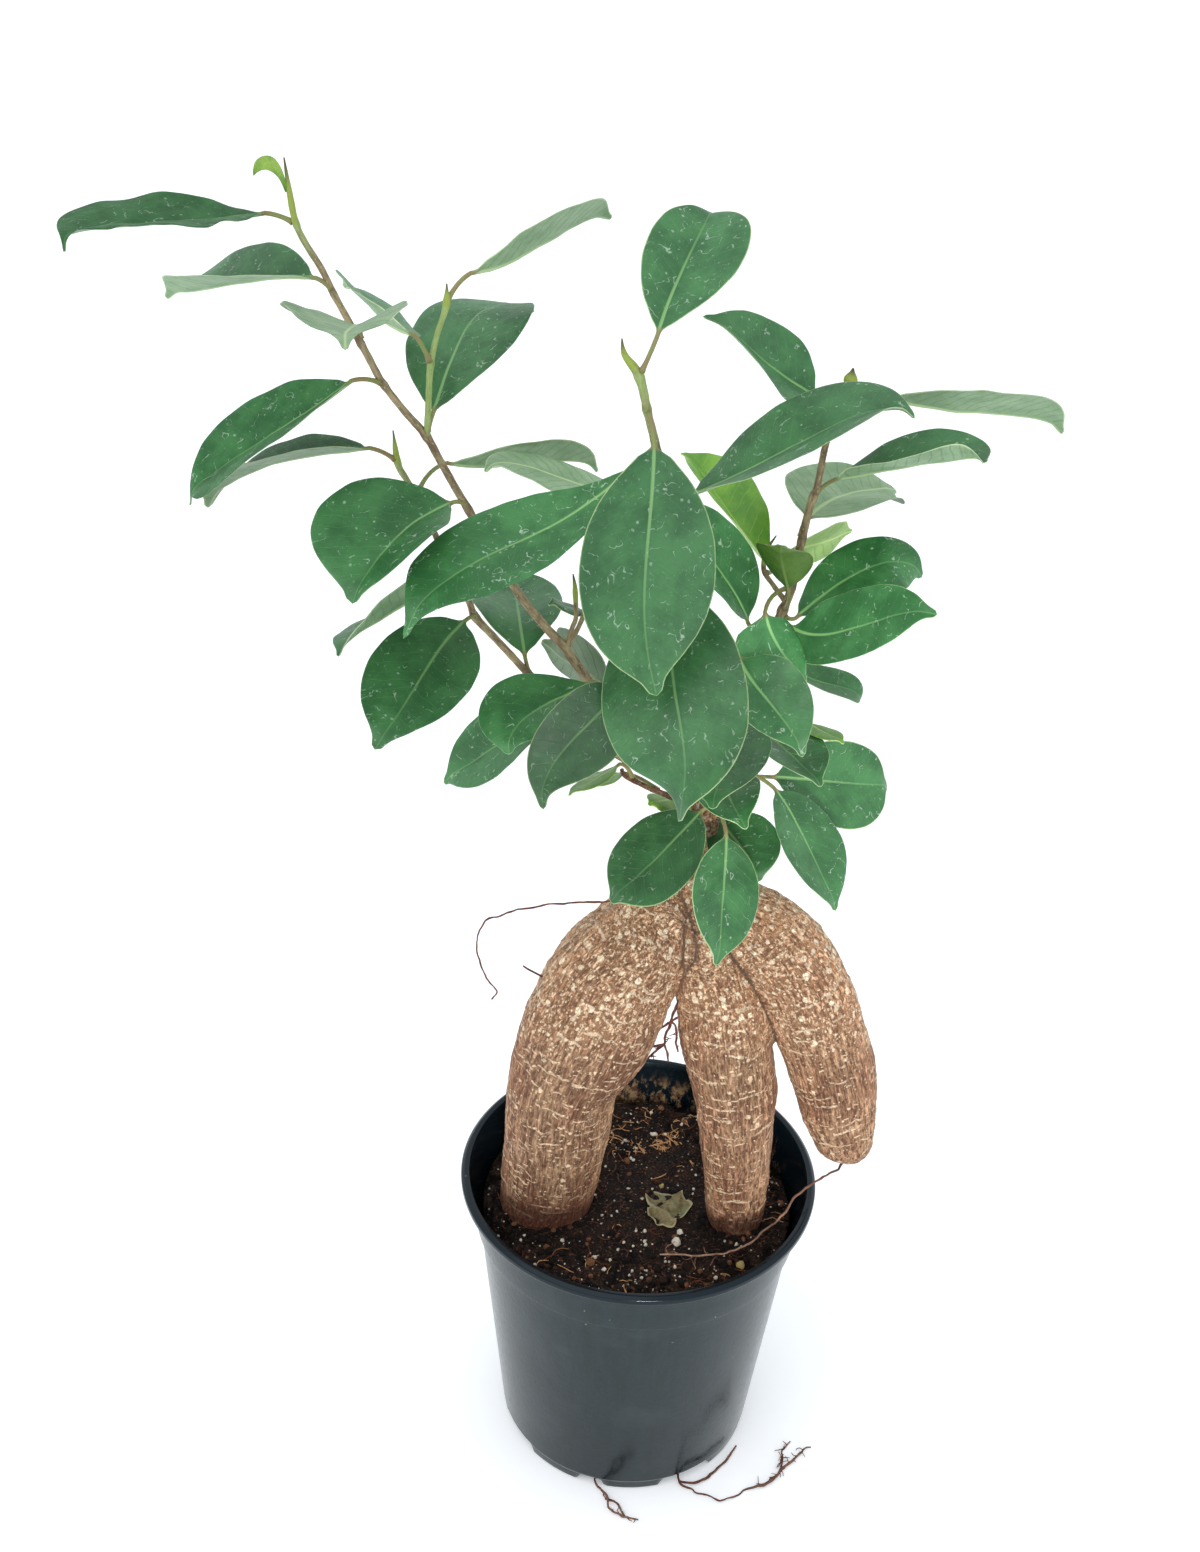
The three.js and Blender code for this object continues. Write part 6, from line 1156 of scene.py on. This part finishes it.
prof = rounded([[0, 0.05, 0], [8, 0.05, 0.5], [8.4, FOOT_H, 0.4], [34.0, FOOT_H, 0.5], [34.5, 0, 0.5], [38.2, 0, 1.0], [38.9, 4, 0.8],
                [46.8, 76.7, 0.3], [48.0, 77.7, 0.45], [49.2, 89.6, 1.3], [50.6, 91.3, 0.5], [52.45, 91.5, 0.8], [52.5, 93.4, 0.8], [51.4, 94.3, 0.7], [50.1, 94.15, 0.5],
                [49.6, 92.6, 0.6], [49, 90, 1], [46, 76, 1], [37, FLOOR_Z, 1.5], [0, FLOOR_Z, 0]])
SIDES = 288
th = np.arange(SIDES) * 2 * math.pi / SIDES
deg = np.degrees(th)
lift = np.zeros(SIDES)
for centre, halfw in GAPS:
    for kq in range(4):
        dd = np.abs((deg - (centre + 90 * kq) + 180) % 360 - 180)
        lift = np.maximum(lift, 2.95 * (1 - smooth01(dd, halfw - 1.6, halfw + 1.6)))
r, z = prof[1:-1, 0][:, None], prof[1:-1, 1][:, None]
Z = np.broadcast_to(z, (len(r), SIDES)).copy()
foot_pts = (z < FOOT_H) & (r > 30)
Z = np.where(foot_pts, np.maximum(Z, lift[None] * (r > 30)), Z)
wob = 1 + 0.0012 * np.sin(2 * th + 0.7)[None] * smooth01(z, 20, 90) + 0.0006 * np.sin(5 * th)[None]
rings = np.stack([r * wob * np.cos(th)[None], r * wob * np.sin(th)[None], Z], -1)
co, faces = loft(rings, np.array([0, 0, prof[0, 1]]), np.array([0, 0, prof[-1, 1]]))
rad = np.hypot(co[:, 0], co[:, 1])
inner_r = 37 + (co[:, 2] - FLOOR_Z) * (46 - 37) / 70 + 0.3
is_in = (rad < np.where(co[:, 2] > 76, 46 + (co[:, 2] - 76) * 0.2 + 0.4, inner_r)) & (co[:, 2] > FLOOR_Z - 0.5)
wall = np.where(is_in | (co[:, 2] > 90.5), 0.0, 1.0)
stain = is_in * smooth01(co[:, 0], -22, -4) * smooth01(co[:, 1], 12, 30) * (1 - smooth01(co[:, 2], 84, 91)) * (co[:, 2] > 70)
rim_face = np.array([int(wall[f].mean() < 0.5) for f in faces])
pot = piece("pot_look", co, faces, [POT, POT_RIM], rim_face, {"wall": wall, "stain": stain}, "pot_plastic", ("pot",))
cut = []
for centre, halfw in GAPS:
    for kq in range(4):
        a = math.radians(centre + 90 * kq)
        c = np.array([29.5 * math.cos(a), 29.5 * math.sin(a)])
        tt = np.arange(28) * 2 * math.pi / 28
        ring = lambda zz: np.stack([c[0] + 3 * np.cos(tt), c[1] + 3 * np.sin(tt), np.full(28, zz)], -1)
        cc, ff = loft(np.stack([ring(1.0), ring(8.0)]), np.array([c[0], c[1], 1.0]), np.array([c[0], c[1], 8.0]))
        cut.append((cc, ff, {}))
cc, ff, _ = merged(cut)
drill = piece("drill", cc, ff, [])
mod = pot.modifiers.new("holes", "BOOLEAN")
mod.operation, mod.object, mod.solver = "DIFFERENCE", drill, "EXACT"
dg = bpy.context.evaluated_depsgraph_get()
new = bpy.data.meshes.new_from_object(pot.evaluated_get(dg))
pot.modifiers.clear()
pot.data = new
bpy.data.objects.remove(drill)
sharp = pot.data
sharp.polygons.foreach_set("use_smooth", np.full(len(sharp.polygons), True))


# ------------------------------------------------------------------ soil
def soil_height(x, y):
    x, y = np.asarray(x, float), np.asarray(y, float)
    q = np.stack([x, y, 0 * x], -1).reshape(-1, 3)
    base = 0.55 * np.sin(0.43 * x + 1.3) * np.cos(0.37 * y) + 0.45 * np.sin(0.21 * x - 0.33 * y + 2)
    rough = (0.55 * fbm(q / 3.1, 3, 81) + 0.45 * np.abs(fbm(q / 1.25, 3, 91)) + 0.9 * fbm(q / 9, 2, 95)).reshape(x.shape)
    edge = smooth01(np.hypot(x, y), 40, 46)
    bank = 0.0
    for cx, cy, cr, hh in ((-28.0, -4.0, 11.5, -0.6), (29.1, -7.4, 6.4, 0.9), (-13.5, 1.0, 2.0, 1.6)):  # the soil round the two roots
        bank = bank + hh * np.exp(-((np.maximum(np.hypot(x - cx, y - cy) - cr, 0) / 2.6) ** 1.4))
    return SOIL_Z + base + rough * (1 - 0.5 * edge) - 0.8 * edge + bank


def well(x, y):
    """1 inside the sockets of the two roots that go down into the soil."""
    out = np.zeros(np.shape(x))
    for st in (LEFT_ROOT, MIDDLE_ROOT):
        for px, py, pz, pr in spline(st, 6):
            if 76 < pz < 86:
                out = np.maximum(out, 1 - smooth01(np.hypot(x - px, y - py), pr - 1.2, pr - 0.3))
    return out


radii = np.concatenate([np.linspace(0.6, 44.8, 100), [45.4, 45.9]])
S2 = 288
tt = np.arange(S2) * 2 * math.pi / S2
RX, TX = np.meshgrid(radii, tt, indexing="ij")
X, Y = RX * np.cos(TX), RX * np.sin(TX)
H = soil_height(X, Y) - 9.0 * well(X, Y)
top = np.stack([X, Y, H], -1)[::-1]
wall_r = [(45.6, 76.0), (42, 42.0), (37.2, 10.0), (36.3, FLOOR_Z + 0.4), (20, FLOOR_Z + 0.4)]
side_rings = np.stack([np.stack([rr_ * np.cos(tt), rr_ * np.sin(tt), np.full(S2, zz)], -1) for rr_, zz in wall_r])
co, faces = loft(np.vstack([top, side_rings]), np.array([0, 0, float(soil_height(np.zeros(1), np.zeros(1))[0])]), np.array([0, 0, FLOOR_Z + 0.4]))
parts = [(co, faces, {"tone": np.zeros(len(co))})]
kinds = [np.zeros(len(faces), int)]

ico = bpy.data.meshes.new("ico")
import bmesh
bm = bmesh.new()
bmesh.ops.create_icosphere(bm, subdivisions=2, radius=1.0)
ball = np.array([v.co[:] for v in bm.verts])
ball_faces = [[v.index for v in f.verts] for f in bm.faces]
bm.free()
bpy.data.meshes.remove(ico)


def lump_at(c, size, flat, tone, kind, seed, rough=0.3):
    a = rng.uniform(0, 2 * math.pi, 3)
    ca, sa = np.cos(a), np.sin(a)
    rot = np.array([[ca[0], -sa[0], 0], [sa[0], ca[0], 0], [0, 0, 1]]) @ np.array([[ca[1], 0, sa[1]], [0, 1, 0], [-sa[1], 0, ca[1]]])
    v = ball * (1 + rough * fbm(ball * 1.7 + seed * 3.7, 2, seed)[:, None]) * (size * np.array([1, rng.uniform(0.6, 1), flat]))
    v = v @ rot.T + c
    parts.append((v, ball_faces, {"tone": np.full(len(v), tone)}))
    kinds.append(np.full(len(ball_faces), kind))


def free_spot():
    while True:
        r_, a_ = 44.5 * math.sqrt(rng.random()), rng.uniform(0, 2 * math.pi)
        x_, y_ = r_ * math.cos(a_), r_ * math.sin(a_)
        if well(np.array([x_]), np.array([y_]))[0] < 0.02:
            return x_, y_


foot_at = []
for st in (LEFT_ROOT, MIDDLE_ROOT):
    q_ = spline(st, 6)
    foot_at.append(q_[np.argmin(np.abs(q_[:, 2] - SOIL_Z))])
for i in range(850):
    x_, y_ = free_spot()
    if i >= 680:  # more of them drawn up round the two roots
        f_ = foot_at[i % 3 == 0]
        a_ = rng.uniform(0, 2 * math.pi)
        x_, y_ = f_[0] + (f_[3] + rng.uniform(-0.2, 1.8)) * math.cos(a_), f_[1] + (f_[3] + rng.uniform(-0.2, 1.8)) * math.sin(a_)
        if math.hypot(x_, y_) > 44:
            continue
    s_ = 0.35 + 1.1 * rng.random() ** 2.2
    z_ = float(soil_height(np.array([x_]), np.array([y_]))[0])
    lump_at(np.array([x_, y_, z_ + 0.25 * s_]), s_, 0.7, rng.random(), 1, i % 19)
for i in range(300):
    x_, y_ = free_spot() if i < 210 else (rng.normal(8, 9), rng.normal(27, 7))
    if math.hypot(x_, y_) > 43:
        continue
    z_ = float(soil_height(np.array([x_]), np.array([y_]))[0])
    L_, a_ = rng.uniform(1.8, 7.5), rng.uniform(0, 2 * math.pi)
    dx, dy = math.cos(a_), math.sin(a_)
    bend = rng.uniform(-0.35, 0.35)
    st = []
    for t_ in np.linspace(-0.5, 0.5, 5):
        px, py = x_ + dx * L_ * t_ - dy * bend * L_ * (t_ * t_ * 4), y_ + dy * L_ * t_ + dx * bend * L_ * (t_ * t_ * 4)
        if math.hypot(px, py) > 45:
            px, py = px * 45 / math.hypot(px, py), py * 45 / math.hypot(px, py)
        zz = float(soil_height(np.array([px]), np.array([py]))[0])
        st.append([px, py, max(zz + 0.15, z_ - 0.5) + rng.uniform(0, 0.5), rng.uniform(0.08, 0.2) * (1 - 0.5 * abs(t_))])
    c_, f_, _, _, _ = tube(st, 5, 2)
    parts.append((c_, f_, {"tone": np.full(len(c_), (rng.uniform(0.7, 1.0) if i > 210 else rng.random() * (1.0 if i % 3 == 0 else 0.45)))}))
    kinds.append(np.full(len(f_), 2))
for i in range(300):
    x_, y_ = free_spot()
    z_ = float(soil_height(np.array([x_]), np.array([y_]))[0])
    s_ = 0.20 + 0.48 * rng.random() ** 2.2
    lump_at(np.array([x_, y_, z_ + 0.45 * s_]), s_, 0.8, rng.random() * 0.8, 3, i % 23, 0.35)
for x_, y_, s_, tone in PERLITE_AT:
    z_ = float(soil_height(np.array([x_]), np.array([y_]))[0])
    lump_at(np.array([x_, y_, z_ + 0.5 * s_]), s_, 0.7, tone, 3, int(abs(x_) * 7) % 29, 0.4)
co, faces, at = merged(parts)
piece("soil_look", co, faces, [SOIL, CRUMB, FIBRE, PERLITE], np.concatenate(kinds), at, "soil", ("soil",))

# dry scrap of leaf on the soil
g1, g2 = np.meshgrid(np.linspace(-1, 1, 34), np.linspace(-1, 1, 34), indexing="ij")
ang_ = np.arctan2(g2, g1)
rad_ = np.maximum(np.abs(g1), np.abs(g2))
lobe = 1 + 0.16 * np.sin(3 * ang_ + 0.6) + 0.10 * np.sin(5 * ang_ + 2) + 0.06 * np.sin(9 * ang_)
px = SCRAP_AT[0] + rad_ * np.cos(ang_) * 6.4 * lobe
py = SCRAP_AT[1] + rad_ * np.sin(ang_) * 7.2 * lobe
pz = soil_height(px, py) * 0.35 + 0.65 * (SOIL_Z + 0.6) + 1.2 + 0.5 * fbm(np.stack([px / 3.2, py / 3.2, 0 * px], -1).reshape(-1, 3), 2, 99).reshape(px.shape)
across = -(px - SCRAP_AT[0]) * 0.64 + (py - SCRAP_AT[1]) * 0.77  # crumpled folds
bent = lambda f, k: across + 2.6 * fbm(np.stack([px / f, py / f, 0 * px], -1).reshape(-1, 3), 2, k).reshape(px.shape)
pz += 1.2 * np.exp(-((bent(4.5, 12) / 1.2) ** 2)) - 0.8 * np.exp(-(((bent(3.8, 22) - 2.7) / 1.1) ** 2)) - 0.7 * np.exp(-(((bent(3.2, 32) + 2.6) / 0.9) ** 2))
side = (px - SCRAP_AT[0]) * 0.8 + (py - SCRAP_AT[1]) * 0.6
pz += 1.0 * np.exp(-(((side + 2.4 + 0.4 * bent(3.5, 42)) / 0.9) ** 2)) - 0.6 * np.exp(-(((side + 0.4 + 0.5 * bent(4.1, 52)) / 0.8) ** 2))
pz += 1.3 * rad_**3 * (0.5 + 0.5 * np.sin(2 * ang_ + 1)) + 1.0 * rad_**2 * np.sin(7 * ang_ + 1.2) * smooth01(-(px - SCRAP_AT[0]), -3, 4)
grid = np.stack([px, py, pz], -1)
m_ = 34
idx = np.arange(m_ * m_).reshape(m_, m_)
topf = np.stack([idx[:-1, :-1], idx[1:, :-1], idx[1:, 1:], idx[:-1, 1:]], -1).reshape(-1, 4)
low = grid.reshape(-1, 3) - [0, 0, 0.16]
border = np.concatenate([idx[0, :], idx[1:, -1], idx[-1, -2::-1], idx[-2:0:-1, 0]])
rimf = [[int(a), int(b), int(b) + m_ * m_, int(a) + m_ * m_] for a, b in zip(border, np.roll(border, -1))]
co = np.vstack([grid.reshape(-1, 3), low])
faces = topf.tolist() + (topf[:, ::-1] + m_ * m_).tolist() + rimf
margin = np.tile(smooth01(rad_, 0.88, 0.99).ravel() + 0.4 * np.exp(-(((side + 2.4 + 0.4 * bent(3.5, 42)) / 0.4) ** 2)).ravel(), 2)
scrap = piece("leaf_scrap_look", co, faces, [SCRAP], None, {"margin": np.clip(margin, 0, 1)}, "soil")
bm = bmesh.new()
bm.from_mesh(scrap.data)
bmesh.ops.recalc_face_normals(bm, faces=bm.faces)
bm.to_mesh(scrap.data)
bm.free()

# ------------------------------------------------------------------ camera, at the angle of the photograph
cam_data = bpy.data.cameras.new("camera")
cam = bpy.data.objects.new("camera", cam_data)
scene.collection.objects.link(cam)
scene.camera = cam
cam_data.sensor_fit = "VERTICAL"
cam_data.sensor_height = 36.0
cam_data.sensor_width = 36.0
cam_data.lens = 36.0 * 1850.0 / 1552.0
cam_data.clip_start, cam_data.clip_end = 0.01, 60
C = Vector((-0.01666936, -0.41738154, 0.46947583))
fwd = Vector((0.0, 0.8654412689, -0.5010103892))
rt = Vector((0.9989728569, 0.0227013739, 0.0392141686))
up = Vector((-0.0453111840, 0.5004958119, 0.8645523922))
cam.matrix_world = Matrix(((rt.x, up.x, -fwd.x, C.x), (rt.y, up.y, -fwd.y, C.y), (rt.z, up.z, -fwd.z, C.z), (0, 0, 0, 1)))

# ------------------------------------------------------------------ floor and light
fl = Look("floor")
fp = fl.obj()
fl.b.inputs["Emission Color"].default_value = (0.95, 0.98, 1.0, 1)
fl.b.inputs["Emission Strength"].default_value = 0.2
FLOOR_LOOK = fl.done(fl.mix(fl.band(fl.noise(fp, 3.0, 3), 0.3, 0.7), lin(246, 248, 250), lin(250, 251, 252)), 0.75, None, spec=0.2)
tt = np.arange(96) * 2 * math.pi / 96
ring = lambda rr_: np.stack([rr_ * np.cos(tt), rr_ * np.sin(tt), np.zeros(96)], -1)
co = np.vstack([ring(6000), ring(1500), ring(400), ring(100), [[0, 0, 0]]])
faces = [[i + 96 * k_, (i + 1) % 96 + 96 * k_, (i + 1) % 96 + 96 * (k_ + 1), i + 96 * (k_ + 1)] for k_ in range(3) for i in range(96)] + [[i + 288, (i + 1) % 96 + 288, 384] for i in range(96)]
floor = piece("floor", co, faces, [FLOOR_LOOK])

world = bpy.data.worlds.new("studio")
scene.world = world
world.use_nodes = True
bg = world.node_tree.nodes["Background"]
bg.inputs[0].default_value = (0.93, 0.96, 1.0, 1)
bg.inputs[1].default_value = WORLD


def area(name, loc, target, size, power, color):
    d = bpy.data.lights.new(name, "AREA")
    d.shape, d.size, d.energy, d.color = "DISK", size, power, color
    o = bpy.data.objects.new(name, d)
    scene.collection.objects.link(o)
    o.location = loc
    o.rotation_euler = (Vector(target) - Vector(loc)).to_track_quat("-Z", "Y").to_euler()
    return o


area("key", (-0.75, -0.95, 1.5), (0.0, 0.0, 0.2), 2.2, KEY, (1.0, 0.99, 0.97))
d = bpy.data.lights.new("root_light", "SPOT")  # a soft, narrow light on the roots
d.energy, d.spot_size, d.spot_blend, d.shadow_soft_size, d.color = FILL, math.radians(11.0), 1.0, 0.10, (1.0, 0.97, 0.93)
o = bpy.data.objects.new("root_light", d)
scene.collection.objects.link(o)
o.location = (0.12, -0.9, 0.26)
o.rotation_euler = (Vector((0.026, 0.0, 0.145)) - Vector(o.location)).to_track_quat("-Z", "Y").to_euler()
scene.view_settings.view_transform = "Standard"
scene.view_settings.look = "None"
scene.view_settings.exposure = 0.0
scene.view_settings.gamma = 1.0
